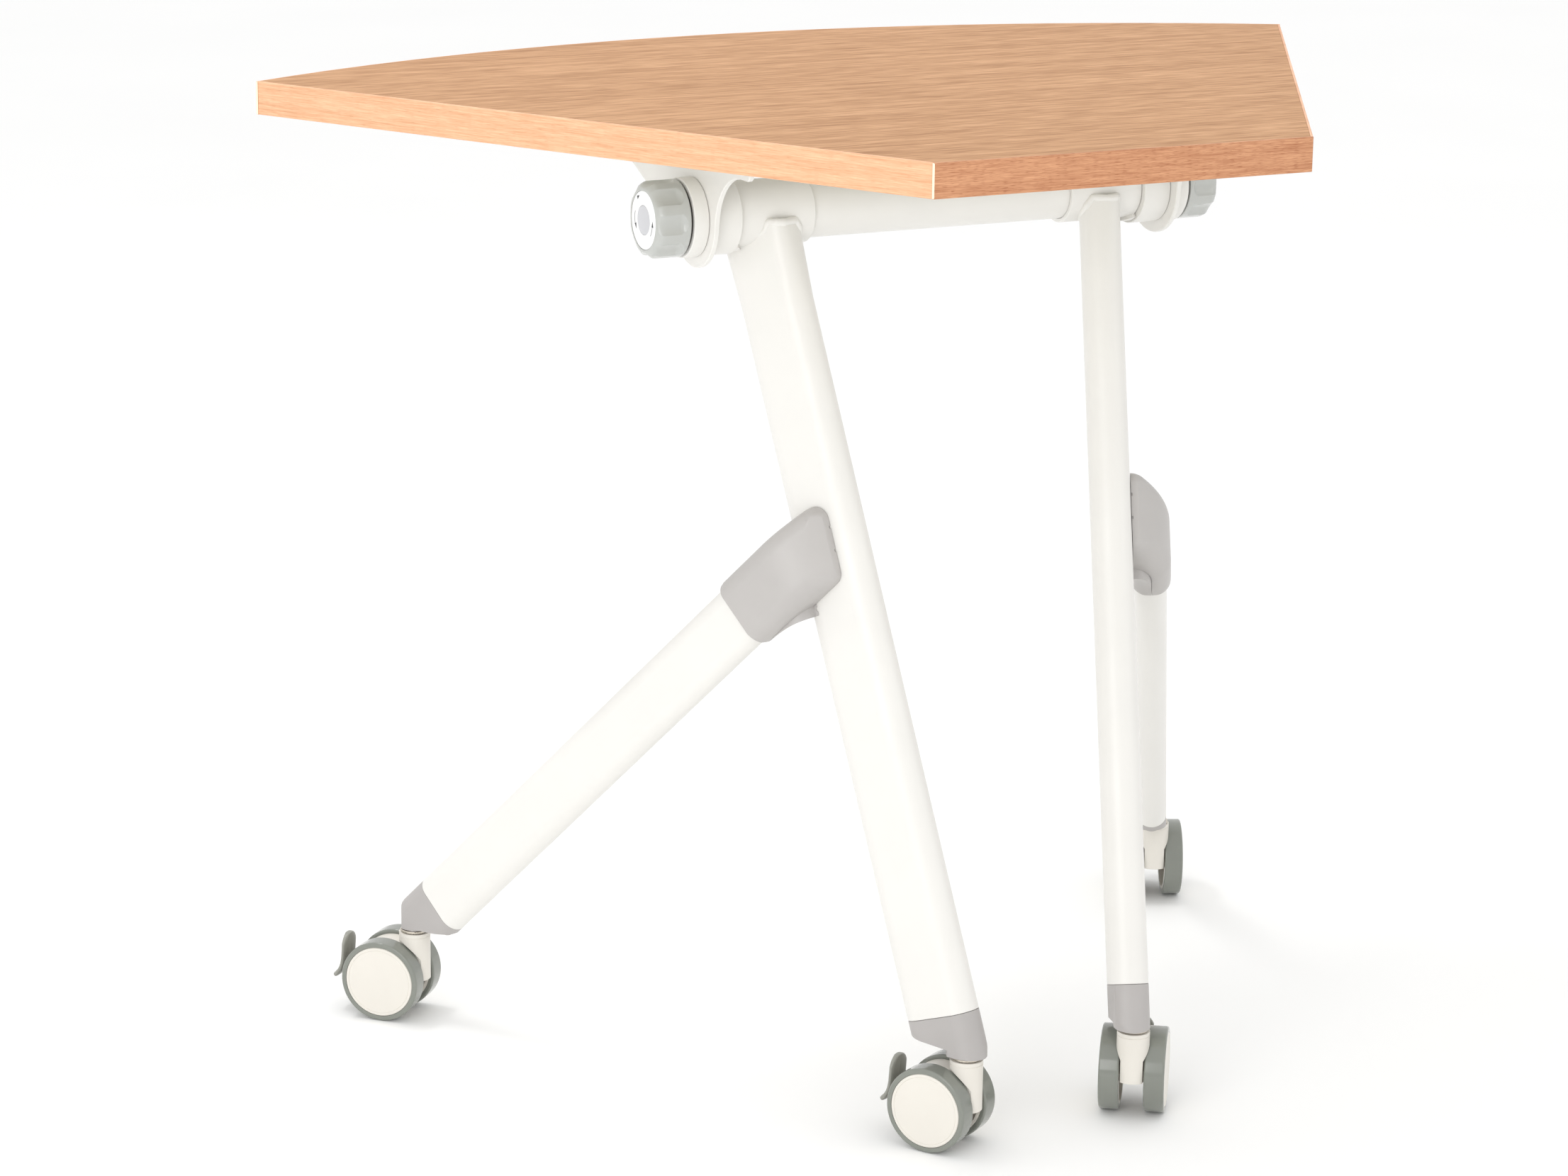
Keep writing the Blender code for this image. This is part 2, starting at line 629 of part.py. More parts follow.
def cover_cutters():
    """Room for the main leg and the brace, each with a seat gap all round."""
    clear = 2 * SEAT_GAP
    reach = 2 * COVER_REACH
    leg_start = BRACE_JOINT + Vector((0, 0, BRACE_OFFSET))
    leg_room = oval_bar(
        MAIN_TUBE_WIDTH + clear, MAIN_TUBE_DEPTH + clear, leg_start, LEG_ALONG, -reach, reach
    )
    brace_end = (BRACE_JOINT + LEG_REARWARDS * (BRACE_END_BACK - SEAT_GAP), LEG_REARWARDS)
    brace_start = COVER_END - BRACE_ALONG * COVER_REACH
    section = (BRACE_TUBE_WIDTH + clear, BRACE_TUBE_DEPTH + clear, brace_start, BRACE_ALONG)
    brace_room = lofted([oval_loop(*section, brace_start, BRACE_ALONG), oval_loop(*section, *brace_end)])
    return ("DIFFERENCE", leg_room), ("DIFFERENCE", brace_room)


def behind_leg(back, level):
    """Space from a distance behind the main leg's axis on, inwards of a level of the leg plane."""
    reach = 2 * COVER_REACH
    at_leg = BRACE_JOINT + Vector((0, 0, BRACE_OFFSET))
    profile = [(back, -reach), (back, -level), (reach, -level), (reach, -reach)]
    return along_line(profile, at_leg, LEG_ALONG, LEG_REARWARDS, reach)


def outer_cover_mesh():
    leg_face = -MAIN_TUBE_DEPTH / 2 - SEAT_GAP
    split = behind_leg(MAIN_TUBE_WIDTH / 2 - SEAT_GAP, -BRACE_OFFSET - SEAT_GAP / 2)
    steps = [("INTERSECT", cover_dome()), ("INTERSECT", cover_arch()), *cover_cutters()]
    return combined(cover_block(leg_face), *steps, ("DIFFERENCE", split))


def inner_cover_mesh():
    """Half shell round the inner side of the brace, behind the main leg."""
    section = (BRACE_TUBE_WIDTH + 2 * COVER_SIDE_SKIN, BRACE_TUBE_DEPTH + 2 * COVER_SKIN)
    shell = oval_bar(*section, BRACE_JOINT, BRACE_ALONG, -2 * COVER_REACH, 2 * COVER_REACH)
    kept = behind_leg(MAIN_TUBE_WIDTH / 2, -BRACE_OFFSET + SEAT_GAP / 2)
    return combined(cover_block(0), ("INTERSECT", shell), ("INTERSECT", kept), *cover_cutters())


def cap_mesh(tube, foot, along, seat, boss_radius, heel_side):
    """Foot cap: the tube's own section carried on to the sole, with a round nose over the stem, and a plug.

    heel_side is 1 where the heel lies behind the stem and -1 where it lies ahead.
    """
    width, depth = tube
    reach = MAIN_TUBE_WIDTH
    body = oval_bar(width, depth, foot, along, -reach, -SEAT_GAP)
    sole_rise = math.tan(CAP_SOLE_SLOPE)
    sole = seat.y + CAP_SOLE_HEIGHT
    nose_x = seat.x - heel_side * reach
    heel_x = seat.x + heel_side * 2 * reach
    over_sole = [
        (nose_x, sole - reach * sole_rise),
        (heel_x, sole + 2 * reach * sole_rise),
        (heel_x, 2 * reach),
        (nose_x, 2 * reach),
    ]
    kept = extruded(over_sole, 2, foot.z - depth, foot.z + depth)
    stand = TO_LEG_PLANE.to_3x3().to_4x4()
    stand.translation = seat
    facing = math.pi / 2 + LEG_PLAN_ANGLE if heel_side > 0 else LEG_PLAN_ANGLE - math.pi / 2
    turn = Matrix.Rotation(facing, 4, "Z")
    nose = arc((0, 0), boss_radius, math.pi / 2, 1.5 * math.pi, 2 * ARC_STEPS)
    nose += [(2 * reach, -width), (2 * reach, width)]
    behind_nose = moved(moved(extruded(nose, 2, -reach, 2 * reach), turn), stand)
    boss = cylinder(boss_radius - BOSS_STEP, 0, 2 * CAP_SOLE_HEIGHT, ROUND_SIDES, 2)
    fit = 2 * (TUBE_WALL + SEAT_GAP)
    plug = oval_bar(width - fit, depth - fit, foot, along, -CAP_PLUG_LENGTH / 2, CAP_PLUG_LENGTH)
    bore_top = STEM_INSERT + SEAT_GAP
    bore = cylinder(STEM_RADIUS + SEAT_GAP, -bore_top, bore_top, SMALL_ROUND_SIDES, 2)
    return combined(
        body,
        ("INTERSECT", kept),
        ("INTERSECT", behind_nose),
        ("UNION", moved(boss, stand)),
        ("UNION", plug),
        ("DIFFERENCE", moved(bore, stand)),
    )


def front_cap_mesh():
    tube = (MAIN_TUBE_WIDTH, MAIN_TUBE_DEPTH)
    return cap_mesh(tube, FRONT_FOOT, LEG_ALONG, TO_LEG_PLANE @ FRONT_SEAT, FRONT_BOSS_RADIUS, 1)


def rear_cap_mesh():
    tube = (BRACE_TUBE_WIDTH, BRACE_TUBE_DEPTH)
    return cap_mesh(tube, REAR_FOOT, BRACE_ALONG, TO_LEG_PLANE @ REAR_SEAT, REAR_BOSS_RADIUS, -1)


# Castor, made with its stem on the Z axis, the floor at zero and the wheels trailing along +X


def stem_mesh():
    top = STEM_SEAT_HEIGHT + STEM_INSERT
    washer_top = STEM_SEAT_HEIGHT - SEAT_GAP
    washer_low = washer_top - WASHER_THICKNESS
    low = CASTOR_BOSS_TOP - STEM_DEPTH
    profile = (
        (STEM_RADIUS, low),
        (STEM_RADIUS, washer_low),
        (WASHER_RADIUS, washer_low),
        (WASHER_RADIUS, washer_top),
        (STEM_RADIUS, washer_top),
        (STEM_RADIUS, top),
    )
    return mesh_of(turned(profile, SMALL_ROUND_SIDES, 2))


def castor_body_mesh():
    """Narrow hood between the wheels with a round boss for the stem and a socket for the lever."""
    axle = (CASTOR_TRAIL, AXLE_HEIGHT)
    pivot = (LEVER_PIVOT_X, LEVER_PIVOT_Z)
    socket = LEVER_PIVOT_RADIUS + RUNNING_GAP
    hood_end = LEVER_PIVOT_ANGLE + 2 * math.asin(socket / (2 * HOOD_RADIUS))
    floor = AXLE_HEIGHT - HOOD_FLOOR_DROP
    boss_floor = CASTOR_BOSS_TOP - CASTOR_BOSS_DEPTH
    shoulder = CASTOR_BOSS_TOP - CASTOR_SHOULDER_DROP
    outline = arc(axle, HOOD_RADIUS, hood_end, HOOD_FRONT_ANGLE, 2 * ARC_STEPS)
    outline += [
        (0, shoulder),
        (-CASTOR_CHIN_AHEAD, shoulder),
        (-CASTOR_CHIN_AHEAD, CASTOR_CHIN_HEIGHT),
        (CASTOR_TRAIL - HOOD_FLOOR_DROP, floor),
        (CASTOR_TRAIL + HOOD_FLOOR_DROP, floor),
    ]
    outline += arc(pivot, socket, 1.25 * math.pi, hood_end + math.pi / 2, ARC_STEPS)
    half = CASTOR_BODY_WIDTH / 2
    hood = extruded(outline, 1, -half, half)
    boss = cylinder(CASTOR_BOSS_RADIUS, boss_floor, CASTOR_BOSS_TOP, ROUND_SIDES, 2)
    steps = [("UNION", boss)]
    to_axle = Matrix.Translation((CASTOR_TRAIL, 0, AXLE_HEIGHT))
    for side in (-1, 1):
        ends = sorted((side * half, side * WHEEL_OUTER))
        relief = cylinder(WHEEL_RADIUS + WHEEL_RIM_GAP, *ends, ROUND_SIDES, 1)
        steps.append(("DIFFERENCE", moved(relief, to_axle)))
    bore = cylinder(AXLE_RADIUS + RUNNING_GAP, -WHEEL_OUTER, WHEEL_OUTER, SMALL_ROUND_SIDES, 1)
    steps.append(("DIFFERENCE", moved(bore, to_axle)))
    stem_floor = CASTOR_BOSS_TOP - STEM_DEPTH - SEAT_GAP
    stem_bore = cylinder(
        STEM_RADIUS + RUNNING_GAP, stem_floor, CASTOR_BOSS_TOP + STEM_DEPTH, SMALL_ROUND_SIDES, 2
    )
    steps.append(("DIFFERENCE", stem_bore))
    return combined(hood, *steps)


def axle_mesh():
    end = WHEEL_OUTER - AXLE_END_WALL - RUNNING_GAP
    return mesh_of(cylinder(AXLE_RADIUS, -end, end, SMALL_ROUND_SIDES, 1))


def hub_mesh():
    """Right-hand wheel hub about its axle: a closed outer disc, a rim and a boss on the axle."""
    rim = HUB_RADIUS - SEAT_GAP
    bore = AXLE_RADIUS + RUNNING_GAP
    plate = WHEEL_OUTER - HUB_PLATE
    profile = (
        (rim - TYRE_EDGE, WHEEL_OUTER),
        (rim, WHEEL_OUTER - TYRE_EDGE),
        (rim, WHEEL_INNER),
        (rim - HUB_RIM, WHEEL_INNER),
        (rim - HUB_RIM, plate),
        (HUB_BOSS_RADIUS, plate),
        (HUB_BOSS_RADIUS, WHEEL_INNER),
        (bore, WHEEL_INNER),
        (bore, WHEEL_OUTER - AXLE_END_WALL),
    )
    return mesh_of(turned(profile, WHEEL_SIDES, 1))


def tyre_mesh():
    """Tyre about its axle, with a broad soft edge at the outer side."""
    soft = 2 * TYRE_EDGE
    profile = (
        (HUB_RADIUS, WHEEL_INNER),
        (WHEEL_RADIUS - TYRE_EDGE, WHEEL_INNER),
        (WHEEL_RADIUS, WHEEL_INNER + TYRE_EDGE),
        (WHEEL_RADIUS, WHEEL_OUTER - soft - TYRE_EDGE),
        (WHEEL_RADIUS - TYRE_EDGE, WHEEL_OUTER - TYRE_EDGE),
        (HUB_RADIUS + TYRE_EDGE / 2, WHEEL_OUTER - TYRE_EDGE / 2),
        (HUB_RADIUS, WHEEL_OUTER - TYRE_EDGE),
    )
    return mesh_of(turned(profile, WHEEL_SIDES, 1, closed=True))


def lever_mesh():
    """Brake lever about its pivot: a round knuckle, an arm and a pedal that kicks out at its toe."""
    top = PADDLE_TOP - LEVER_PIVOT_Z
    back = PADDLE_X - LEVER_PIVOT_X
    spine = [
        (back + PADDLE_THICKNESS, top),
        (back + PADDLE_THICKNESS / 2, top / 2),
        (back, 0),
        (back + PADDLE_TOE_KICK / 3, -PADDLE_TOE_DROP / 2),
        (back + PADDLE_TOE_KICK, -PADDLE_TOE_DROP),
    ]
    thick = PADDLE_THICKNESS
    outline = [(x, z) for x, z in spine] + [(x + thick, z) for x, z in reversed(spine)]
    half = PADDLE_WIDTH / 2
    pedal = extruded(outline, 1, -half, half)
    trim = cylinder(half, -2 * PADDLE_WIDTH, 2 * PADDLE_WIDTH, ROUND_SIDES, 0)
    moved(trim, Matrix.Translation((back, 0, top - half)))
    below = extruded(
        [(-half, -2 * half), (half, -2 * half), (half, top - half), (-half, top - half)],
        0,
        -2 * PADDLE_WIDTH,
        2 * PADDLE_WIDTH,
    )
    arm_half = LEVER_ARM_WIDTH / 2
    rise = LEVER_ARM_THICKNESS / 2
    end = back + thick / 2
    arm = extruded([(0, -rise), (end, -rise), (end, rise), (0, rise)], 1, -arm_half, arm_half)
    knuckle_half = LEVER_KNUCKLE_WIDTH / 2
    knuckle = cylinder(LEVER_PIVOT_RADIUS, -knuckle_half, knuckle_half, SMALL_ROUND_SIDES, 1)
    round_top = mesh_shape(combined(below, ("UNION", trim)))
    return combined(pedal, ("INTERSECT", round_top), ("UNION", arm), ("UNION", knuckle))


def mesh_shape(mesh):
    """Bmesh of a finished mesh, for a further Boolean step."""
    shape = bmesh.new()
    shape.from_mesh(mesh)
    return shape


# Assembly


def beam_place(x=0.0):
    return Matrix.Translation((x, BEAM_Y, BEAM_HEIGHT))


def castor_place(name, seat):
    """Stem axis on the floor, with the wheels trailing back and outwards by the castor's own turn."""
    turn = Matrix.Rotation(math.pi / 2 + CASTOR_TURNS[name], 4, "Z")
    return Matrix.Translation((seat.x, seat.y, 0)) @ turn


def add_castor(name, seat, parent, meshes, finishes):
    swivel = empty(f"castor_{name}_swivel", parent, castor_place(name, seat))
    at_axle = Matrix.Translation((CASTOR_TRAIL, 0, AXLE_HEIGHT))
    at_lever = Matrix.Translation((LEVER_PIVOT_X, 0, LEVER_PIVOT_Z))
    piece(f"castor_stem_{name}", meshes["stem"], finishes["zinc"], swivel)
    piece(f"castor_body_{name}", meshes["body"], finishes["cream"], swivel)
    piece(f"castor_axle_{name}", meshes["axle"], finishes["zinc"], swivel, at_axle)
    piece(f"brake_lever_{name}", meshes["lever"], finishes["lever"], swivel, at_lever)
    half_turn = Matrix.Rotation(math.pi, 4, "Z")
    for side, turn in (("a", Matrix()), ("b", half_turn)):
        piece(f"wheel_hub_{name}_{side}", meshes["hub"], finishes["cream"], swivel, at_axle @ turn)
        piece(f"tyre_{name}_{side}", meshes["tyre"], finishes["tyre"], swivel, at_axle @ turn)


def clear_scene():
    for old in list(bpy.data.objects):
        bpy.data.objects.remove(old)


def main():
    clear_scene()
    finishes = {
        "laminate": finish("beech_laminate", (0.67, 0.40, 0.22), 0.45),
        "band": finish("beech_edge_band", (0.86, 0.52, 0.27), 0.4),
        "white": finish("white_powder_coat", (0.92, 0.91, 0.88), 0.4),
        "cream": finish("cream_nylon", (0.91, 0.87, 0.76), 0.42),
        "grey": finish("warm_grey_plastic", (0.57, 0.54, 0.52), 0.5),
        "knob": finish("knob_grey_plastic", (0.44, 0.46, 0.43), 0.25),
        "dial": finish("white_dial_plate", (0.93, 0.93, 0.93), 0.35),
        "tyre": finish("grey_polyurethane", (0.29, 0.33, 0.29), 0.3),
        "lever": finish("lever_grey_plastic", (0.26, 0.30, 0.26), 0.4),
        "zinc": finish("zinc_plated_steel", (0.75, 0.73, 0.70), 0.25, 1.0),
    }

    frame = empty("frame")
    top_pivot = empty("top_pivot", None, beam_place())
    over_floor = Matrix.Translation((0, -BEAM_Y, -BEAM_HEIGHT))
    piece("table_top", table_top_mesh(), finishes["laminate"], top_pivot, over_floor)
    piece("edge_band", edge_band_mesh(), finishes["band"], top_pivot, over_floor)
    piece("beam_tube", beam_mesh(), finishes["white"], frame, beam_place())
    piece("clamp_rod", rod_mesh(), finishes["zinc"], frame, beam_place())

    bracket, clutch, knob_collar = bracket_mesh(), clutch_mesh(), knob_collar_mesh()
    sleeve, knob, dial = sleeve_mesh(), knob_mesh(), dial_mesh()
    main_leg, brace = main_leg_mesh(), brace_mesh()
    outer_cover, inner_cover = outer_cover_mesh(), inner_cover_mesh()
    front_cap, rear_cap = front_cap_mesh(), rear_cap_mesh()
    castor_meshes = {
        "stem": stem_mesh(),
        "body": castor_body_mesh(),
        "axle": axle_mesh(),
        "lever": lever_mesh(),
        "hub": hub_mesh(),
        "tyre": tyre_mesh(),
    }

    for side, facing in (("left", 1), ("right", -1)):
        mirror = Matrix.Diagonal((facing, 1, 1, 1))
        half = empty(f"{side}_half", frame, mirror)
        top_half = empty(f"{side}_top_half", top_pivot, mirror)
        piece(f"bracket_{side}", bracket, finishes["white"], top_half)
        piece(f"clutch_collar_{side}", clutch, finishes["white"], top_half)
        piece(f"knob_collar_{side}", knob_collar, finishes["white"], top_half)
        piece(f"sleeve_{side}", sleeve, finishes["white"], half, beam_place())
        turner = empty(f"knob_{side}_turner", half, beam_place(-KNOB_INNER))
        piece(f"knob_{side}", knob, finishes["knob"], turner)
        piece(f"knob_dial_{side}", dial, finishes["dial"], turner)
        leg = empty(f"{side}_leg_plane", half, LEG_PLANE)
        piece(f"main_leg_{side}", main_leg, finishes["white"], leg)
        piece(f"brace_{side}", brace, finishes["white"], leg)
        piece(f"joint_cover_outer_{side}", outer_cover, finishes["grey"], leg)
        piece(f"joint_cover_inner_{side}", inner_cover, finishes["grey"], leg)
        piece(f"foot_cap_front_{side}", front_cap, finishes["grey"], leg)
        piece(f"foot_cap_rear_{side}", rear_cap, finishes["grey"], leg)
        add_castor(f"front_{side}", FRONT_SEAT, half, castor_meshes, finishes)
        add_castor(f"rear_{side}", REAR_SEAT, half, castor_meshes, finishes)


if __name__ == "__main__":
    main()
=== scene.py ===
"""Folding corner desk: the looks of every piece, built round the packed frame.

The file is laid out as an add-on and run as a script. Each operator makes one group of pieces at the
places that the frame gives, in metres, and main() runs them all in order.
"""

import json
import math

import bmesh
import bpy
import numpy as np
from mathutils import Matrix, Vector


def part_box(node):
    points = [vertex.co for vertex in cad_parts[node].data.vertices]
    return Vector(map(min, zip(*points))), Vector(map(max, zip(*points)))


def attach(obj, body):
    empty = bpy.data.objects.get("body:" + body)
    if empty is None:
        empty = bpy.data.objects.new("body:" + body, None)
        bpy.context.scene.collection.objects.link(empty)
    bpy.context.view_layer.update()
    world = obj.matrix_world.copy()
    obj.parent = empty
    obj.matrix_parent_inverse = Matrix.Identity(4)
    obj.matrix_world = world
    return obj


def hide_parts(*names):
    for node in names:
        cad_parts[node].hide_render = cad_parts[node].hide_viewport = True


bl_info = {
    "name": "Folding corner desk",
    "version": (1, 0, 0),
    "blender": (4, 5, 0),
    "location": "View3D > Sidebar > Desk",
    "description": "Dresses the packed frame of a folding corner desk with fine shapes and finishes",
    "category": "Object",
}

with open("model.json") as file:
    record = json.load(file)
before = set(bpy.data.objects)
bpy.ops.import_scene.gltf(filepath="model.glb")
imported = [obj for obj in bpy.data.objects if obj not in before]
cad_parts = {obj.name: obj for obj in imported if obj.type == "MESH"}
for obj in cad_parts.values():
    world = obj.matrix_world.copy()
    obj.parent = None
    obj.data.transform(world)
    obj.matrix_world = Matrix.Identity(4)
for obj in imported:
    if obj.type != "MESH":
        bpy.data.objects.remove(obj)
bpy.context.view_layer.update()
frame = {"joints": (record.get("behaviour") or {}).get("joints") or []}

MM = 0.001
X, Y, Z = range(3)
SIDES = ("left", "right")
CASTORS = ("front_left", "rear_left", "front_right", "rear_right")
JOINTS = {joint["name"]: joint for joint in frame["joints"]}

# Places read from the frame
BEAM = Vector(JOINTS["top_flip"]["pos_m"])
TOP_LOW, TOP_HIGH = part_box("edge_band")

# Driving sizes of the solids that the fine shapes follow
TOP_FRONT_WIDTH = 300 * MM
TOP_SIDE_ANGLE = math.radians(30)
TOP_REAR_RADIUS = 950 * MM
BAND_THICKNESS = 2 * MM
BAND_GAP = 0.1 * MM
BEAM_WALL = 2.5 * MM
SEAT_GAP = 0.3 * MM
ROD_RADIUS = 6 * MM
BRACKET_HUB_RADIUS = 37.5 * MM
BRACKET_WING_DEPTH = 16 * MM
BRACKET_FRONT_REACH = 95 * MM
BRACKET_FRONT_FILLET = 44 * MM
BRACKET_TIP_ROUND = 5 * MM
BRACKET_REAR_REACH = 186 * MM
BRACKET_REAR_SLOPE = math.radians(23.25)
BRACKET_SHEET = 4 * MM
FLANGE_WIDTH = 30 * MM
FLANGE_INSET = 6 * MM
FLANGE_ROUND = 8 * MM
KNOB_FLUTES = 8
KNOB_NOSE_ROUND = 6.5 * MM
# Outer radius of the thin near-black ring behind each knob, which paints the shade of the gap between
# collar and knob
KNOB_GAP_SHADE_RADIUS = 26.4 * MM
DIAL_RADIUS = 21.4 * MM
DIAL_HOLE = 11 * MM
DIAL_CENTRE_RADIUS = 10.75 * MM
LEG_PLAN_ANGLE = math.radians(29)
LEG_FOOT = Vector((-78.5 * MM, TOP_LOW.y + 93.3 * MM, 98 * MM))
LEG_HEAD = Vector((-144.8 * MM, BEAM.y, BEAM.z))
LEG_TOP_DROP = 3 * MM
LEG_NECK = 70 * MM
HEAD_POWER = 0.62
MAIN_TUBE = (58 * MM, 31 * MM)
BRACE_TUBE = (49.5 * MM, 25 * MM)
TUBE_WALL = 2 * MM
BRACE_OFFSET = 29.9 * MM
BRACE_FOOT = Vector((451.8 * MM, -2.9 * MM, -BRACE_OFFSET))
BRACE_JOINT_UP = 355.4 * MM
BRACE_END_BACK = 32 * MM
COVER_SKIN = 3 * MM
COVER_SIDE_SKIN = 3.4 * MM
COVER_REACH = 78.5 * MM
COVER_LEG_LAP = 12 * MM
COVER_LEG_EDGE = 6 * MM
COVER_WALL_RUN = 1.1 * MM
COVER_DOME_RUN = 48 * MM
COVER_DOME_POWER = 1.8
COVER_SHOULDER = 15 * MM
COVER_END_ROUND = 2.5 * MM
COVER_PEAK_ROUND = 11 * MM
COVER_HEEL_ROUND = 10 * MM
COVER_RIM_ROUND = 1.2 * MM
COVER_LEAST_SKIN = 0.3 * MM
INNER_COVER_BACK = 20 * MM
PARTING_RUN = 18 * MM
PARTING_GAP = 0.15 * MM
FLARE = 8 * MM
FLARE_RUN = 38 * MM
OUTER_LEG_ROUND = 0.6 * MM
INNER_LEG_ROUND = 0.5 * MM
INNER_PEAK_ROUND = 3 * MM
INNER_HEEL_ROUND = 2 * MM
NOTCH_RADIUS = 1.6 * MM
NOTCH_UP = 4.5 * MM
POCKET_SHARES = (0.38, 0.66)
POCKET_HALF_LENGTH = 1.1 * MM
POCKET_HALF_WIDTH = 1.4 * MM
POCKET_DEPTH = 1.7 * MM
FRONT_BOSS_RADIUS = 15.2 * MM
REAR_BOSS_RADIUS = 10.5 * MM
FRONT_SOLE = (3.4 * MM, math.radians(4))
REAR_SOLE = (1.0 * MM, math.radians(2))
CAP_HEEL_ROUND = 6 * MM
CAP_EDGE_ROUND = 0.9 * MM
CAP_PLUG = 24 * MM
STEM_SEAT = 73 * MM
STEM_INSERT = 18 * MM
STEM_DEPTH = 17 * MM
STEM_RADIUS = 5.5 * MM
STEM_WASHER_RADIUS = 11.2 * MM
AXLE_RADIUS = 3 * MM
AXLE_BORE = 3.3 * MM
WHEEL_RADIUS = 32.5 * MM
WHEEL_ROOM = 1.2 * MM
HUB_RADIUS = 28.5 * MM
CASTOR_TRAIL = 20.5 * MM
CASTOR_BODY_WIDTH = 16.8 * MM
CASTOR_BOSS_RADIUS = 12.4 * MM
CASTOR_BOSS_TOP = STEM_SEAT - 2.8 * MM
CASTOR_BOSS_DEPTH = 39 * MM
CASTOR_SHOULDER_DROP = 9.2 * MM
HOOD_RADIUS = 29.5 * MM
WHEEL_INNER = CASTOR_BODY_WIDTH / 2 + 0.9 * MM
WHEEL_OUTER = WHEEL_INNER + 15.7 * MM
LEVER_PIVOT = (49.12 * MM, 39.64 * MM)

# Fineness of the meshes
ROUND_SIDES = 96
WHEEL_SIDES = 128
KNOB_SIDES = 240
OVAL_STEPS = 20
EDGE_STEPS = 4
REAR_STEPS = 120
BORE_SIDES = 32
BOSS_SIDES = 64
RIM_STEPS = 60
OUTER_COVER_GRID = (96, 64)
INNER_COVER_GRID = (56, 48)
SHARP_ANGLE = math.radians(38)

# Reach of a bore that runs right out of a piece, in metres
THROUGH = 1

# Each wood: waves of its fibres, share of its flecks, roughness
WOODS = {
    "beech_laminate": (0.25, 0.12, 0.5),
    "beech_edge_band": (0.6, 0.16, 0.42),
    "beech_front_band": (0.6, 0.5, 0.42),
}

# Each painted or moulded skin: roughness, grain size, bump strength, depth of its clouds, clear coat
SKINS = {
    "white_coat": (0.36, 1.1 * MM, 0.12, 0.02, 0.0),
    "cream_nylon": (0.36, 0.7 * MM, 0.08, 0.03, 0.0),
    "board_backing": (0.55, 0.9 * MM, 0.2, 0.05, 0.0),
    "beech_band_ends": (0.45, 0.6 * MM, 0.1, 0.05, 0.0),
    "cover_plastic": (0.36, 0.5 * MM, 0.14, 0.05, 0.0),
    "cap_plastic": (0.46, 0.6 * MM, 0.2, 0.05, 0.0),
    "knob_plastic": (0.18, 0.8 * MM, 0.03, 0.04, 0.3),
    # The next finish is near-black painted shade for the gap behind each knob
    "knob_washer_rubber": (0.6, 0.6 * MM, 0.2, 0.2, 0.0),
    "dial_white": (0.3, 0.6 * MM, 0.03, 0.02, 0.2),
    "dial_grey": (0.34, 0.5 * MM, 0.06, 0.05, 0.0),
    "dial_ink": (0.4, 0.5 * MM, 0.05, 0.05, 0.0),
    "tyre_polyurethane": (0.13, 1.6 * MM, 0.03, 0.08, 0.35),
    "lever_plastic": (0.34, 0.6 * MM, 0.08, 0.05, 0.0),
}

# Each soft box: place, target, width and height
SOFT_BOXES = {
    "key": ((-2.7, -1.2, 1.6), (0, 0, 0.45), (0.8, 0.8)),
    "side": ((-1.5, -1.4, 0.85), (-0.4, 0, 0.66), (1.0, 1.0)),
    "fill": ((2.4, -2.2, 1.3), (0, 0, 0.45), (1.4, 1.2)),
    "top": ((-0.9, 1.0, 2.6), (-0.1, 0, 0.45), (0.7, 0.35)),
}
FLOOR_RADIUS = 14
FLOOR_DROP = 0.2 * MM


# Properties


def length(label, text, default):
    return bpy.props.FloatProperty(
        name=label, description=text, default=default, unit="LENGTH", precision=4
    )


def colour(label, text, default):
    return bpy.props.FloatVectorProperty(
        name=label, description=text, default=default, subtype="COLOR", size=3, min=0, max=1
    )


def amount(label, text, default, largest=1.0):
    return bpy.props.FloatProperty(
        name=label, description=text, default=default, subtype="FACTOR", min=0, max=largest
    )


class DeskTopLook(bpy.types.PropertyGroup):
    """Board and edge band."""

    laminate_light: colour("Laminate light", "Pale fibres of the beech laminate", (0.69, 0.378, 0.18))
    laminate_dark: colour("Laminate dark", "Dark fibres of the beech laminate", (0.355, 0.168, 0.067))
    band_light: colour("Band light", "Pale fibres of the side edge band", (0.95, 0.585, 0.365))
    band_dark: colour("Band dark", "Dark fibres of the side edge band", (0.70, 0.35, 0.19))
    front_light: colour("Front band light", "Pale fibres of the front edge band", (0.73, 0.385, 0.213))
    front_dark: colour("Front band dark", "Dark fibres of the front edge band", (0.44, 0.185, 0.092))
    fleck: colour("Flecks", "Short dark flecks of the wood", (0.31, 0.10, 0.042))
    cut_end: colour("Band ends", "Cut ends of the edge band", (0.95, 0.82, 0.62))
    backing: colour("Backing", "Pale backing sheet under the board", (0.74, 0.71, 0.63))
    fibre_length: length("Fibre length", "Length of a fibre of the laminate's grain", 0.062)
    fibre_width: length("Fibre width", "Width of a fibre of the laminate's grain", 0.0046)
    band_fibre_length: length("Band fibre length", "Length of a fibre of the edge band's grain", 0.036)
    band_fibre_width: length("Band fibre width", "Width of a fibre of the edge band's grain", 0.0014)
    band_round: length("Band rounding", "Rounding of the edge band's long edges", 0.9 * MM)


class DeskFrameLook(bpy.types.PropertyGroup):
    """Painted steel and bare steel."""

    coat: colour("Coat", "White powder coat", (0.79, 0.776, 0.742))
    zinc: colour("Zinc", "Bright plated steel", (0.72, 0.66, 0.57))
    edge_round: length("Edge rounding", "Rounding of the turned steel edges", 0.8 * MM)
    weld_radius: length("Weld size", "Radius of the weld bead between leg and sleeve", 3.0 * MM)


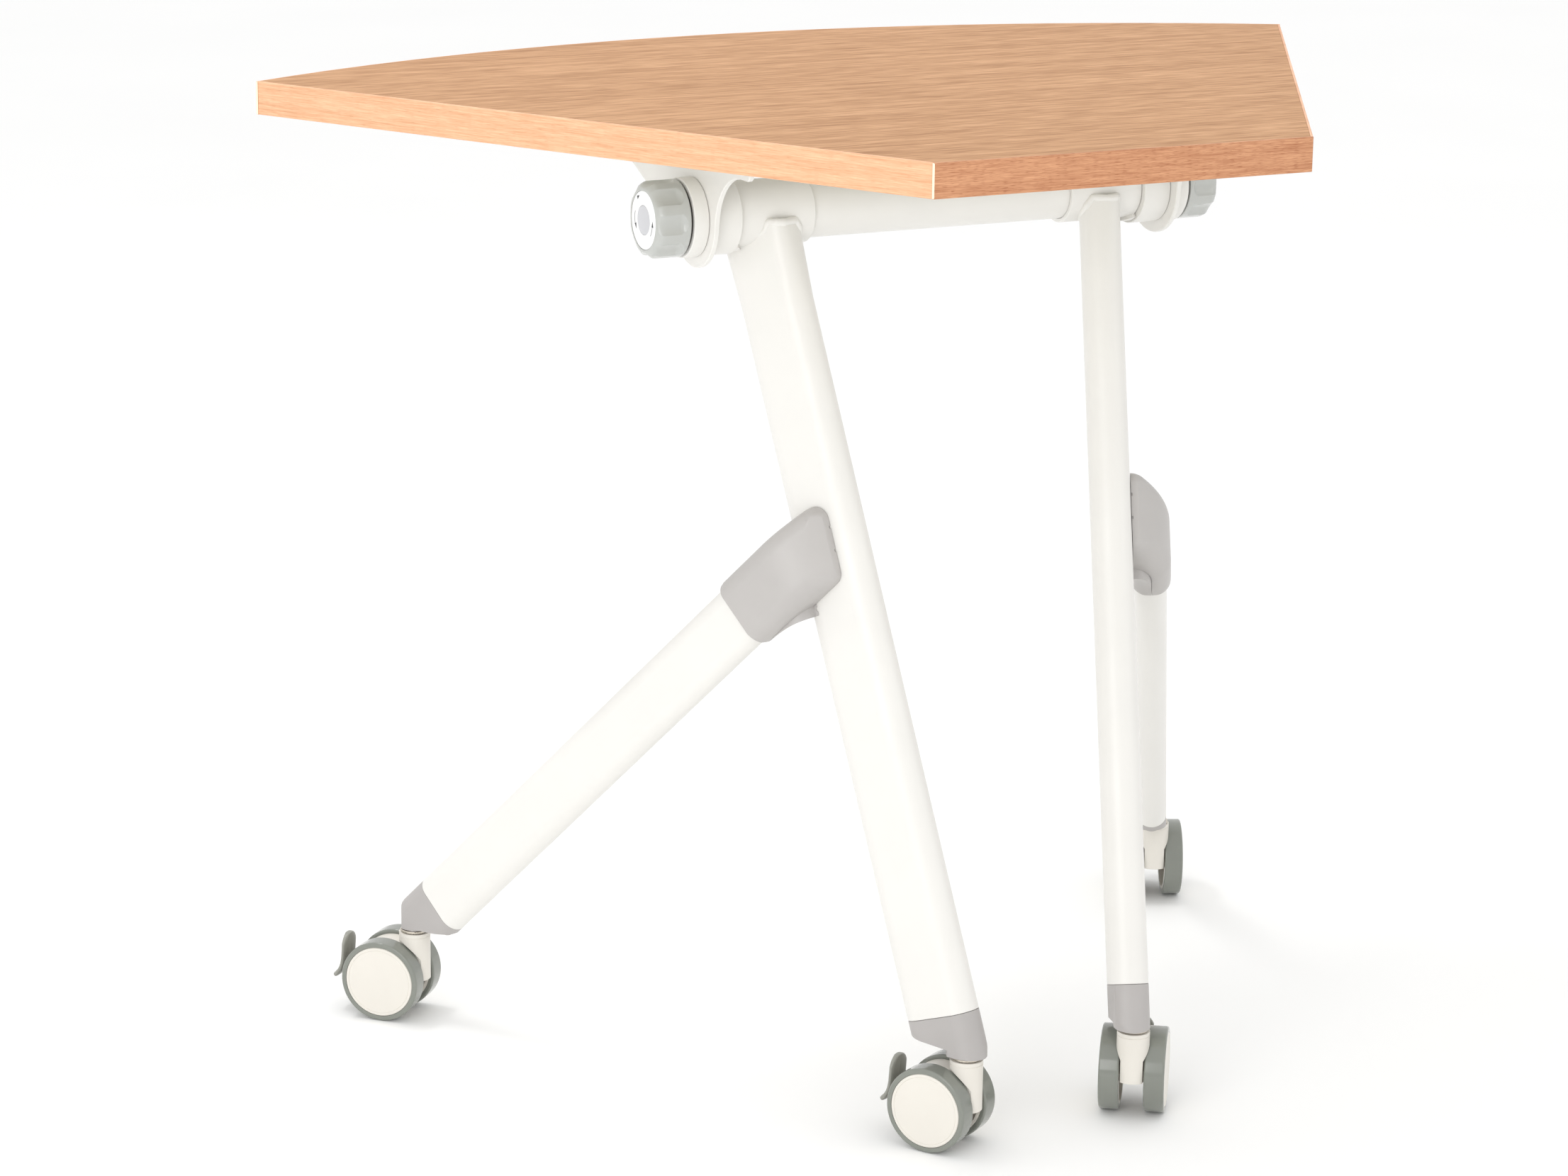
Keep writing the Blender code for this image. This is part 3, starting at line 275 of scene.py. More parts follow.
class DeskPlasticLook(bpy.types.PropertyGroup):
    """Covers, caps and knobs."""

    cover: colour("Covers", "Warm grey joint covers", (0.478, 0.459, 0.443))
    cap: colour("Caps", "Warm grey foot caps", (0.43, 0.41, 0.398))
    knob: colour("Knobs", "Glossy grey knobs", (0.49, 0.50, 0.478))
    # Near-black painted shade for the gap between each knob and its collar, laid on a thin ring
    washer: colour("Knob gap shade", "Near-black rings of painted shade in the gaps behind the knobs", (0.018, 0.013, 0.011))
    dial: colour("Dial", "White dial plate", (0.93, 0.93, 0.94))
    dial_centre: colour("Dial centre", "Grey middle of the dial", (0.60, 0.605, 0.635))
    ink: colour("Dial marks", "Arrows and lines on the dial", (0.012, 0.012, 0.014))
    flute_depth: length("Flute depth", "Depth of the knob's finger flutes", 2.8 * MM)


class DeskCastorLook(bpy.types.PropertyGroup):
    """Castors and brake levers."""

    nylon: colour("Nylon", "Cream castor bodies and hubs", (0.765, 0.732, 0.668))
    tyre: colour("Tyre", "Grey polyurethane tyres", (0.222, 0.234, 0.205))
    lever: colour("Lever", "Grey brake levers", (0.30, 0.30, 0.265))
    groove_depth: length("Groove depth", "Depth of the ring groove in a hub's face", 0.25 * MM)


class DeskStageLook(bpy.types.PropertyGroup):
    """Floor, light and camera."""

    floor: colour("Floor", "Plain pale floor", (0.95, 0.95, 0.945))
    overhead: amount("Overhead light", "Strength of the white surroundings overhead", 1.12, 4.0)
    around: amount("Light from the sides", "Strength of the white surroundings at floor level", 0.9, 4.0)
    key: amount("Key light", "Power of the soft box on the left", 2.0, 200.0)
    side: amount("Side light", "Power of the low soft box by the left knob", 9.0, 200.0)
    fill: amount("Fill light", "Power of the soft box on the right", 4.0, 200.0)
    top: amount("Top light", "Power of the soft box behind and above the left end", 12.0, 200.0)
    lens: bpy.props.FloatProperty(
        name="Lens", description="Focal length of the camera", default=98.22, unit="CAMERA"
    )


LOOKS = {
    "desk_top_look": DeskTopLook,
    "desk_frame_look": DeskFrameLook,
    "desk_plastic_look": DeskPlasticLook,
    "desk_castor_look": DeskCastorLook,
    "desk_stage_look": DeskStageLook,
}


# Mesh making


def lofted(loops, closed=False):
    """Bmesh through equal loops of points, capped at both ends or closed from the last to the first."""
    shape = bmesh.new()
    rings = [[shape.verts.new(point) for point in loop] for loop in loops]
    pairs = list(zip(rings, rings[1:]))
    if closed:
        pairs.append((rings[-1], rings[0]))
    for first, second in pairs:
        for i in range(len(first)):
            j = (i + 1) % len(first)
            shape.faces.new((first[i], first[j], second[j], second[i]))
    if not closed:
        shape.faces.new(rings[0])
        shape.faces.new(rings[-1])
    bmesh.ops.recalc_face_normals(shape, faces=shape.faces)
    return shape


def on_axis(axis, a, b, level):
    """Point with level along axis X, Y or Z and a, b on the other two axes in order."""
    coordinates = [a, b]
    coordinates.insert(axis, level)
    return Vector(coordinates)


def turned(profile, axis, closed=False, sides=ROUND_SIDES):
    """Solid of revolution through (radius, level) pairs; closed leaves a bore through it."""
    loops = []
    for radius, level in profile:
        angles = [math.tau * i / sides for i in range(sides)]
        loops.append([on_axis(axis, radius * math.cos(t), radius * math.sin(t), level) for t in angles])
    return lofted(loops, closed)


def cylinder(radius, low, high, axis, sides=BORE_SIDES):
    """Plain round bar between two levels, for bores and bosses."""
    return turned(((radius, low), (radius, high)), axis, sides=sides)


def pin(radius, low, high, axis, edge, sides=ROUND_SIDES):
    """Round bar between two levels with its end edges broken."""
    profile = ((radius - edge, low), (radius, low + edge), (radius, high - edge), (radius - edge, high))
    return turned(profile, axis, sides=sides)


def arc(centre, radius, start, end, steps):
    """Points from one angle to another about a centre, both ends included."""
    points = []
    for i in range(steps + 1):
        angle = start + (end - start) * i / steps
        points.append((centre[0] + radius * math.cos(angle), centre[1] + radius * math.sin(angle)))
    return points


def rounded(corners, steps=EDGE_STEPS):
    """Closed outline through ((a, b), radius) corners, each rounded by its own radius."""
    points = [Vector(point) for point, _ in corners]
    outline = []
    for i, (corner, radius) in enumerate(zip(points, [radius for _, radius in corners])):
        if not radius:
            outline.append(tuple(corner))
            continue
        to_last = (points[i - 1] - corner).normalized()
        to_next = (points[(i + 1) % len(points)] - corner).normalized()
        half = to_last.angle(to_next) / 2
        centre = corner + (to_last + to_next).normalized() * (radius / math.sin(half))
        start = corner + to_last * (radius / math.tan(half)) - centre
        end = corner + to_next * (radius / math.tan(half)) - centre
        turn = math.atan2(start.x * end.y - start.y * end.x, start.dot(end))
        first = math.atan2(start.y, start.x)
        outline += arc(centre, radius, first, first + turn, steps)
    return outline


def ring_profile(bore, radius, low, high, edge):
    """Closed (radius, level) profile of a ring with rounded outer edges."""
    return rounded((((bore, low), 0), ((radius, low), edge), ((radius, high), edge), ((bore, high), 0)))


def extruded(outline, axis, low, high, edge=0.0):
    """Outline of (a, b) pairs carried along an axis; edge chamfers both ends by pulling the outline in."""
    levels = [(low, 0), (high, 0)]
    if edge:
        levels = [(low, edge), (low + edge, 0), (high - edge, 0), (high, edge)]
    loops = []
    for level, inset in levels:
        loops.append([on_axis(axis, a, b, level) for a, b in pulled_in(outline, inset)])
    return lofted(loops)


def pulled_in(outline, inset):
    """Outline with each point moved inwards by inset, square to its neighbours."""
    if not inset:
        return outline
    area = sum(a[0] * b[1] - b[0] * a[1] for a, b in zip(outline, outline[1:] + outline[:1]))
    side = math.copysign(inset, area)
    moved_points = []
    for i, point in enumerate(outline):
        last, following = Vector(outline[i - 1]), Vector(outline[(i + 1) % len(outline)])
        here = Vector(point)
        before, after = (here - last).normalized(), (following - here).normalized()
        middle = (before + after).normalized()
        stretch = 1 / max(0.5, middle.dot(after))
        moved_points.append(tuple(here + Vector((-middle.y, middle.x)) * side * stretch))
    return moved_points


def moved(shape, matrix):
    bmesh.ops.transform(shape, matrix=matrix, verts=shape.verts)
    return shape


def mesh_of(shape):
    mesh = bpy.data.meshes.new("shape")
    shape.to_mesh(mesh)
    shape.free()
    return mesh


def combined(base, *steps, edge=0.0):
    """Base shape after each (operation, shape) Boolean step, with its sharp edges rounded by edge."""
    objects = []
    for shape in (base, *[tool for _, tool in steps]):
        objects.append(bpy.data.objects.new("working_shape", mesh_of(shape)))
        bpy.context.scene.collection.objects.link(objects[-1])
    body = objects[0]
    for (operation, _), tool in zip(steps, objects[1:]):
        boolean = body.modifiers.new(operation.lower(), "BOOLEAN")
        boolean.operation = operation
        boolean.object = tool
    if edge:
        bevel = body.modifiers.new("edges", "BEVEL")
        bevel.width = edge
        bevel.segments = 3
        bevel.limit_method = "ANGLE"
        bevel.angle_limit = SHARP_ANGLE
    bpy.context.view_layer.update()
    graph = bpy.context.evaluated_depsgraph_get()
    mesh = bpy.data.meshes.new_from_object(body.evaluated_get(graph))
    for used in objects:
        bpy.data.objects.remove(used)
    whole = bmesh.new()
    whole.from_mesh(mesh)
    return whole


def add_piece(name, shape, finish, body, nodes=(), place=None):
    """One visible piece that rides on a body, stands for CAD nodes and takes the finish it is given."""
    mesh = bpy.data.meshes.new(name)
    bmesh.ops.recalc_face_normals(shape, faces=shape.faces)
    shape.to_mesh(mesh)
    shape.free()
    for one in finish if isinstance(finish, tuple) else (finish,):
        mesh.materials.append(one)
    mesh.shade_smooth()
    mesh.set_sharp_from_angle(angle=SHARP_ANGLE)
    made = bpy.data.objects.new(name, mesh)
    bpy.context.scene.collection.objects.link(made)
    if place:
        made.matrix_world = place
    weights = made.modifiers.new("face_weights", "WEIGHTED_NORMAL")
    weights.keep_sharp = True
    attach(made, body)
    if nodes:
        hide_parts(*nodes)


def add_pair(name, shape, finish, body, node=None):
    """Left and right pieces from a left shape, which is used up; {} in body stands for the side."""
    for side in SIDES:
        copy = shape.copy()
        if side == "right":
            moved(copy, Matrix.Diagonal((-1, 1, 1, 1)))
        nodes = (f"{node}_{side}",) if node else ()
        add_piece(f"{name}_{side}", copy, finish, body.format(side), nodes)
    shape.free()


# Shader making


def add(tree, kind, inputs=None, **settings):
    """New node with its settings, and its inputs set to a value or linked from a socket."""
    made = tree.nodes.new(kind)
    for key, value in settings.items():
        setattr(made, key, value)
    for key, value in (inputs or {}).items():
        if isinstance(value, bpy.types.NodeSocket):
            tree.links.new(value, made.inputs[key])
        else:
            made.inputs[key].default_value = value
    return made


def maths(tree, operation, first, second):
    return add(tree, "ShaderNodeMath", {0: first, 1: second}, operation=operation).outputs[0]


def blended(tree, factor, first, second):
    """Colour between two, each a socket or an (r, g, b) value."""
    paints = [one if isinstance(one, bpy.types.NodeSocket) else (*one, 1) for one in (first, second)]
    made = add(tree, "ShaderNodeMix", {0: factor, 6: paints[0], 7: paints[1]}, data_type="RGBA")
    return made.outputs[2]


def ranged(tree, value, from_low, from_high, to_low, to_high):
    made = add(tree, "ShaderNodeMapRange", {0: value, 1: from_low, 2: from_high, 3: to_low, 4: to_high})
    return made.outputs[0]


def new_group(name, inputs, outputs):
    """Shader group with (name, socket kind, default) inputs and (name, socket kind) outputs."""
    tree = bpy.data.node_groups.new(name, "ShaderNodeTree")
    for label, kind, default in inputs:
        tree.interface.new_socket(label, in_out="INPUT", socket_type=kind).default_value = default
    for label, kind in outputs:
        tree.interface.new_socket(label, in_out="OUTPUT", socket_type=kind)
    return tree, tree.nodes.new("NodeGroupInput").outputs, tree.nodes.new("NodeGroupOutput").inputs


def stretched_noise(tree, along, across, detail, roughness=0.5, waves=0.0):
    """Noise in the object's own space, with its cells along and across the X axis given in metres."""
    place = tree.nodes.new("ShaderNodeTexCoord").outputs["Object"]
    wide = maths(tree, "DIVIDE", 1.0, across)
    scale = add(tree, "ShaderNodeCombineXYZ", {0: maths(tree, "DIVIDE", 1.0, along), 1: wide, 2: wide})
    cells = add(tree, "ShaderNodeVectorMath", {0: place, 1: scale.outputs[0]}, operation="MULTIPLY")
    settings = {"Vector": cells.outputs[0], "Scale": 1.0, "Detail": detail, "Roughness": roughness}
    noise = add(tree, "ShaderNodeTexNoise", {**settings, "Distortion": waves})
    return noise.outputs["Fac"]


def beech_group():
    """Beech grain along X: long streaks, wavy fibres, hair lines and short dark flecks."""
    name = "beech_grain"
    if name in bpy.data.node_groups:
        return bpy.data.node_groups[name]
    number, paint = "NodeSocketFloat", "NodeSocketColor"
    tree, given, result = new_group(
        name,
        (
            ("Light", paint, (1, 1, 1, 1)),
            ("Dark", paint, (0, 0, 0, 1)),
            ("Fleck", paint, (0, 0, 0, 1)),
            ("Fibre Length", number, 0.1),
            ("Fibre Width", number, 0.003),
            ("Waves", number, 0.3),
            ("Fleck Length", number, 0.0058),
            ("Fleck Width", number, 0.00036),
            ("Fleck Amount", number, 0.5),
        ),
        (("Colour", paint), ("Tone", number), ("Height", number)),
    )
    fibre = (given["Fibre Length"], given["Fibre Width"])

    def of_fibre(long, wide):
        """Length and width as shares of a fibre's."""
        return [maths(tree, "MULTIPLY", size, share) for size, share in zip(fibre, (long, wide))]

    streaks = stretched_noise(tree, *of_fibre(6.0, 2.4), detail=2.0)
    fibres = stretched_noise(tree, *fibre, detail=3.0, roughness=0.6, waves=given["Waves"])
    hairs = stretched_noise(tree, *of_fibre(0.5, 0.5), detail=2.0, roughness=0.6)
    flecks = stretched_noise(tree, given["Fleck Length"], given["Fleck Width"], detail=0.0)
    tone = ranged(tree, fibres, 0.36, 0.64, 0.0, 0.3)
    tone = maths(tree, "ADD", tone, ranged(tree, hairs, 0.36, 0.64, 0.0, 0.42))
    tone = maths(tree, "ADD", tone, ranged(tree, streaks, 0.35, 0.65, 0.0, 0.28))
    wood = blended(tree, tone, given["Light"], given["Dark"])
    mask = maths(tree, "MULTIPLY", ranged(tree, flecks, 0.6, 0.68, 0.0, 1.0), given["Fleck Amount"])
    tree.links.new(blended(tree, mask, wood, given["Fleck"]), result["Colour"])
    tree.links.new(tone, result["Tone"])
    tree.links.new(maths(tree, "SUBTRACT", hairs, mask), result["Height"])
    return tree


def skin_group():
    """Fine grain of a coat or moulding and slow clouds over it, both from nought to one."""
    name = "fine_skin"
    if name in bpy.data.node_groups:
        return bpy.data.node_groups[name]
    number = "NodeSocketFloat"
    tree, given, result = new_group(
        name,
        (("Grain Size", number, 0.001), ("Cloud Size", number, 0.05)),
        (("Grain", number), ("Clouds", number)),
    )
    grain = stretched_noise(tree, given["Grain Size"], given["Grain Size"], detail=2.0)
    clouds = stretched_noise(tree, given["Cloud Size"], given["Cloud Size"], detail=3.0)
    tree.links.new(ranged(tree, grain, 0.3, 0.7, 0.0, 1.0), result["Grain"])
    tree.links.new(ranged(tree, clouds, 0.3, 0.7, 0.0, 1.0), result["Clouds"])
    return tree


def bare_finish(name):
    """New material with its shader, or None for the tree if the material is there already.

    Its name ends in _finish, because the frame's own plain materials have the names of the slots.
    """
    name = f"{name}_finish"
    if name in bpy.data.materials:
        return bpy.data.materials[name], None, None
    material = bpy.data.materials.new(name)
    material.use_nodes = True
    tree = material.node_tree
    return material, tree, tree.nodes["Principled BSDF"]


def bumped(tree, shader, height, strength, distance):
    """Let a height bend the shader's normal."""
    bump = add(tree, "ShaderNodeBump", {"Strength": strength, "Distance": distance, "Height": height})
    tree.links.new(bump.outputs[0], shader.inputs["Normal"])


def clouded(tree, shader, paint, depth, grain_size, cloud_size):
    """Colour the shader by a paint that slow clouds darken by a depth; gives the grain and the clouds."""
    sizes = {"Grain Size": grain_size, "Cloud Size": cloud_size}
    skin = add(tree, "ShaderNodeGroup", sizes, node_tree=skin_group()).outputs
    deep = tuple(channel * (1 - depth) for channel in paint)
    tree.links.new(blended(tree, skin["Clouds"], deep, paint), shader.inputs["Base Color"])
    return skin["Grain"], skin["Clouds"]


def beech_finish(name, look, part, fibre):
    """Satin wood grain along the piece's own X axis, with fibres of a length and width."""
    material, tree, shader = bare_finish(name)
    if tree is None:
        return material
    waves, fleck_amount, roughness = WOODS[name]
    values = {
        "Light": (*getattr(look, f"{part}_light"), 1),
        "Dark": (*getattr(look, f"{part}_dark"), 1),
        "Fleck": (*look.fleck, 1),
        "Fibre Length": fibre[0],
        "Fibre Width": fibre[1],
        "Waves": waves,
        "Fleck Amount": fleck_amount,
    }
    grain = add(tree, "ShaderNodeGroup", values, node_tree=beech_group()).outputs
    tree.links.new(grain["Colour"], shader.inputs["Base Color"])
    worn = ranged(tree, grain["Tone"], 0.0, 1.0, roughness - 0.06, roughness + 0.08)
    tree.links.new(worn, shader.inputs["Roughness"])
    bumped(tree, shader, grain["Height"], strength=0.2, distance=0.2 * MM)
    shader.inputs["Specular IOR Level"].default_value = 0.2
    return material


def skin_finish(name, paint):
    """Painted or moulded surface: slow clouds in its colour and gloss, fine grain in its normal."""
    material, tree, shader = bare_finish(name)
    if tree is None:
        return material
    roughness, grain_size, strength, depth, coat = SKINS[name]
    grain, clouds = clouded(tree, shader, paint, depth, grain_size, cloud_size=45 * MM)
    worn = ranged(tree, clouds, 0.0, 1.0, roughness + 0.05, roughness - 0.03)
    tree.links.new(worn, shader.inputs["Roughness"])
    bumped(tree, shader, grain, strength, distance=0.1 * MM)
    shader.inputs["Coat Weight"].default_value = coat
    shader.inputs["Coat Roughness"].default_value = 0.08
    return material


def zinc_finish(context):
    """Bright zinc plate, a little uneven in its gloss."""
    material, tree, shader = bare_finish("zinc_steel")
    if tree is None:
        return material
    paint = context.scene.desk_frame_look.zinc
    grain, _ = clouded(tree, shader, paint, depth=0.2, grain_size=0.6 * MM, cloud_size=6 * MM)
    tree.links.new(ranged(tree, grain, 0.0, 1.0, 0.2, 0.34), shader.inputs["Roughness"])
    shader.inputs["Metallic"].default_value = 1.0
    return material


def white_coat(context):
    return skin_finish("white_coat", context.scene.desk_frame_look.coat)


def cream_nylon(context):
    return skin_finish("cream_nylon", context.scene.desk_castor_look.nylon)


# Table top


SIDE_START = Vector((-TOP_FRONT_WIDTH / 2, TOP_LOW.y))
SIDE_ALONG = Vector((-math.sin(TOP_SIDE_ANGLE), math.cos(TOP_SIDE_ANGLE)))


def fan_outline(inset):
    """The fan, counter-clockwise from its front left corner, with every edge moved inwards by inset."""
    along = Vector((math.sin(TOP_SIDE_ANGLE), math.cos(TOP_SIDE_ANGLE)))
    on_edge = Vector((TOP_FRONT_WIDTH / 2, TOP_LOW.y)) + Vector((-along.y, along.x)) * inset
    front = on_edge + along * ((TOP_LOW.y + inset - on_edge.y) / along.y)
    rear = on_edge + along * rear_reach(on_edge, along, TOP_REAR_RADIUS - inset)
    centre = rear_centre()
    start = math.atan2(rear.y - centre.y, rear.x)
    return [
        (-front.x, front.y),
        (front.x, front.y),
        *arc(centre, TOP_REAR_RADIUS - inset, start, math.pi - start, REAR_STEPS),
    ]


def rear_centre():
    return Vector((0, TOP_HIGH.y - TOP_REAR_RADIUS))


def rear_reach(point, along, radius):
    """Distance from a point along a line to the rear arc of a radius."""
    from_centre = point - rear_centre()
    half_way = from_centre.dot(along)
    return -half_way + math.sqrt(half_way**2 - from_centre.length_squared + radius**2)


def band_section(look, inset):
    """Section of the edge band as (depth inwards, height) pairs, pulled in by inset."""
    low, high = TOP_LOW.z + inset, TOP_HIGH.z - inset
    round_edge = look.band_round - inset / 2
    corners = (
        ((inset, low), round_edge),
        ((inset, high), round_edge),
        ((BAND_THICKNESS - inset / 2, high), 0),
        ((BAND_THICKNESS - inset / 2, low), 0),
    )
    return rounded(corners)


def band_strip(look, start_at, end_at, bend):
    """Strip between two end cuts, each a function of the depth; bend places (distance, depth, height).

    The last loop at each end is a little smaller, which breaks the strip's end edges.
    """
    chamfer = 0.3 * MM
    whole, small = band_section(look, 0.0), band_section(look, chamfer)
    steps = 24
    loops = []
    for section, share, shift in (
        [(small, 0, 0), (whole, 0, chamfer)]
        + [(whole, i / steps, 0) for i in range(1, steps)]
        + [(whole, 1, -chamfer), (small, 1, 0)]
    ):
        loop = []
        for depth, height in section:
            start, end = start_at(depth), end_at(depth)
            loop.append(bend(start + (end - start) * share + shift, depth, height))
        loops.append(loop)
    shape = lofted(loops)
    shape.faces.ensure_lookup_table()
    for cap in shape.faces[-2:]:
        cap.material_index = 1
    return shape


def front_strip(look):
    """Strip along the front edge, cut along the side edges at both ends."""

    def end(depth):
        return TOP_FRONT_WIDTH / 2 + depth * math.tan(TOP_SIDE_ANGLE)

    def on_front(distance, depth, height):
        return Vector((distance, TOP_LOW.y + depth, height))

    return band_strip(look, lambda depth: -end(depth), end, on_front)


def side_strip(look, facing):
    """Strip along a side edge, lying along X, and its place; facing is 1 on the left, -1 on the right."""
    inwards = Vector((SIDE_ALONG.y, -SIDE_ALONG.x))
    thick = BAND_THICKNESS + BAND_GAP

    def start(depth):
        return (thick - depth * math.sin(TOP_SIDE_ANGLE)) / math.cos(TOP_SIDE_ANGLE)

    def end(depth):
        return rear_reach(SIDE_START + inwards * depth, SIDE_ALONG, TOP_REAR_RADIUS - thick)

    def on_line(distance, depth, height):
        return Vector((distance, -facing * depth, height))

    place = Matrix.Translation((facing * SIDE_START.x, SIDE_START.y, 0))
    place @= Matrix.Rotation(math.atan2(SIDE_ALONG.y, facing * SIDE_ALONG.x), 4, "Z")
    return band_strip(look, start, end, on_line), place


def rear_strip(look):
    """Strip along the rear arc, out to the faces of the side edges."""
    centre = rear_centre()

    def end(depth):
        """Distance along the arc to where it meets, at a depth, the outer face of a side edge."""
        corner = SIDE_START + SIDE_ALONG * rear_reach(SIDE_START, SIDE_ALONG, TOP_REAR_RADIUS - depth)
        return math.atan2(-corner.x, corner.y - centre.y) * TOP_REAR_RADIUS

    def on_arc(distance, depth, height):
        angle, radius = distance / TOP_REAR_RADIUS, TOP_REAR_RADIUS - depth
        return Vector((radius * math.sin(angle), centre.y + radius * math.cos(angle), height))

    return band_strip(look, lambda depth: -end(depth), end, on_arc)


class DESK_OT_top(bpy.types.Operator):
    """Make the fan-shaped board and the four strips of its edge band"""

    bl_idname = "desk.top"
    bl_label = "Top"

    def execute(self, context):
        look = context.scene.desk_top_look
        fibre = (look.fibre_length, look.fibre_width)
        laminate = beech_finish("beech_laminate", look, "laminate", fibre)
        backing = skin_finish("board_backing", look.backing)
        fibre = (look.band_fibre_length, look.band_fibre_width)
        band = beech_finish("beech_edge_band", look, "band", fibre)
        front_band = beech_finish("beech_front_band", look, "front", fibre)
        ends = skin_finish("beech_band_ends", look.cut_end)
        outline = fan_outline(BAND_THICKNESS + BAND_GAP)
        board = extruded(outline, Z, TOP_LOW.z, TOP_HIGH.z, edge=0.15 * MM)
        for face in board.faces:
            if face.normal.z < -0.9:
                face.material_index = 1
        add_piece("top_board", board, (laminate, backing), "top", ("table_top",))
        for name, wood, shape, place in (
            ("front", front_band, front_strip(look), None),
            ("left", band, *side_strip(look, 1)),
            ("right", band, *side_strip(look, -1)),
            ("rear", band, rear_strip(look), None),
        ):
            nodes = ("edge_band",)
            add_piece(f"edge_band_{name}", shape, (wood, ends), "top", nodes, place)
        return {"FINISHED"}


# Beam group


def span(node):
    """Lowest and highest x of a node."""
    low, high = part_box(node)
    return low.x, high.x


def radius_of(node):
    low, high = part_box(node)
    return (high.z - low.z) / 2


def at_beam():
    return Matrix.Translation((0, BEAM.y, BEAM.z))


class DESK_OT_beam(bpy.types.Operator):
    """Make the beam tube, its sleeves and collars and the clamp rod"""

    bl_idname = "desk.beam"
    bl_label = "Beam"

    def execute(self, context):
        look = context.scene.desk_frame_look
        coat = white_coat(context)
        beam_radius = radius_of("beam_tube")
        bore = beam_radius - BEAM_WALL
        profile = ring_profile(bore, beam_radius, *span("beam_tube"), edge=0.4 * MM)
        beam = turned(profile, X, closed=True)
        add_piece("beam", moved(beam, at_beam()), coat, "frame", ("beam_tube",))
        rod = moved(pin(ROD_RADIUS, *span("clamp_rod"), X, edge=1 * MM), at_beam())
        add_piece("rod", rod, zinc_finish(context), "frame", ("clamp_rod",))
        rings = (
            ("sleeve", beam_radius + SEAT_GAP, "frame"),
            ("clutch_collar", beam_radius + SEAT_GAP, "top"),
            ("knob_collar", ROD_RADIUS + SEAT_GAP, "top"),
        )
        for side in SIDES:
            for name, inside, body in rings:
                node = f"{name}_{side}"
                profile = ring_profile(inside, radius_of(node), *span(node), look.edge_round)
                ring = moved(turned(profile, X, closed=True), at_beam())
                add_piece(f"{name}_turned_{side}", ring, coat, body, (node,))
        return {"FINISHED"}


def bracket_outline():
    """Side plate about the beam axis as (y, z): wings above, a round hub below."""
    top = TOP_LOW.z - BEAM.z - SEAT_GAP
    wing = top - BRACKET_WING_DEPTH
    fillet_z = wing - BRACKET_FRONT_FILLET
    spread = BRACKET_HUB_RADIUS + BRACKET_FRONT_FILLET
    fillet_y = -math.sqrt(spread**2 - fillet_z**2)
    touch = math.atan2(fillet_z, fillet_y)
    slope = Vector((math.cos(BRACKET_REAR_SLOPE), math.sin(BRACKET_REAR_SLOPE)))
    rear_top = Vector((BRACKET_REAR_REACH, top))
    nearest = rear_top.dot(slope)
    run = nearest - math.sqrt(nearest**2 - rear_top.length_squared + BRACKET_HUB_RADIUS**2)
    rear_foot = rear_top - slope * run
    hub_end = math.atan2(rear_foot.y, rear_foot.x)
    tip = (-BRACKET_FRONT_REACH + BRACKET_TIP_ROUND, wing + BRACKET_TIP_ROUND)
    outline = [tuple(rear_top), (-BRACKET_FRONT_REACH, top)]
    outline += arc(tip, BRACKET_TIP_ROUND, math.pi, 1.5 * math.pi, 8)
    outline += arc((fillet_y, fillet_z), BRACKET_FRONT_FILLET, math.pi / 2, touch + math.pi, 20)
    hub_start = touch if touch > 0 else touch + math.tau
    outline += arc((0, 0), BRACKET_HUB_RADIUS, hub_start, hub_end + math.tau, 60)[1:]
    return outline


class DESK_OT_brackets(bpy.types.Operator):
    """Make the two pressed brackets that carry the top"""

    bl_idname = "desk.brackets"
    bl_label = "Brackets"

    def execute(self, context):
        coat = white_coat(context)
        outer = span("bracket_left")[0]
        inner = outer + BRACKET_SHEET
        plate = extruded(bracket_outline(), X, outer, inner, edge=0.6 * MM)
        top = TOP_LOW.z - BEAM.z - SEAT_GAP
        ends = (-BRACKET_FRONT_REACH + FLANGE_INSET, BRACKET_REAR_REACH - FLANGE_INSET)
        across = inner + FLANGE_WIDTH
        corners = (
            ((inner - BRACKET_SHEET / 2, ends[0]), 0),
            ((across, ends[0]), FLANGE_ROUND),
            ((across, ends[1]), FLANGE_ROUND),
            ((inner - BRACKET_SHEET / 2, ends[1]), 0),
        )
        flange = extruded(rounded(corners, steps=8), Z, top - BRACKET_SHEET, top, edge=0.5 * MM)
        bore = cylinder(ROD_RADIUS + SEAT_GAP, outer - THROUGH, outer + THROUGH, X)
        shape = moved(combined(plate, ("UNION", flange), ("DIFFERENCE", bore)), at_beam())
        add_pair("bracket_plate", shape, coat, "top", "bracket")
        return {"FINISHED"}


# Knobs


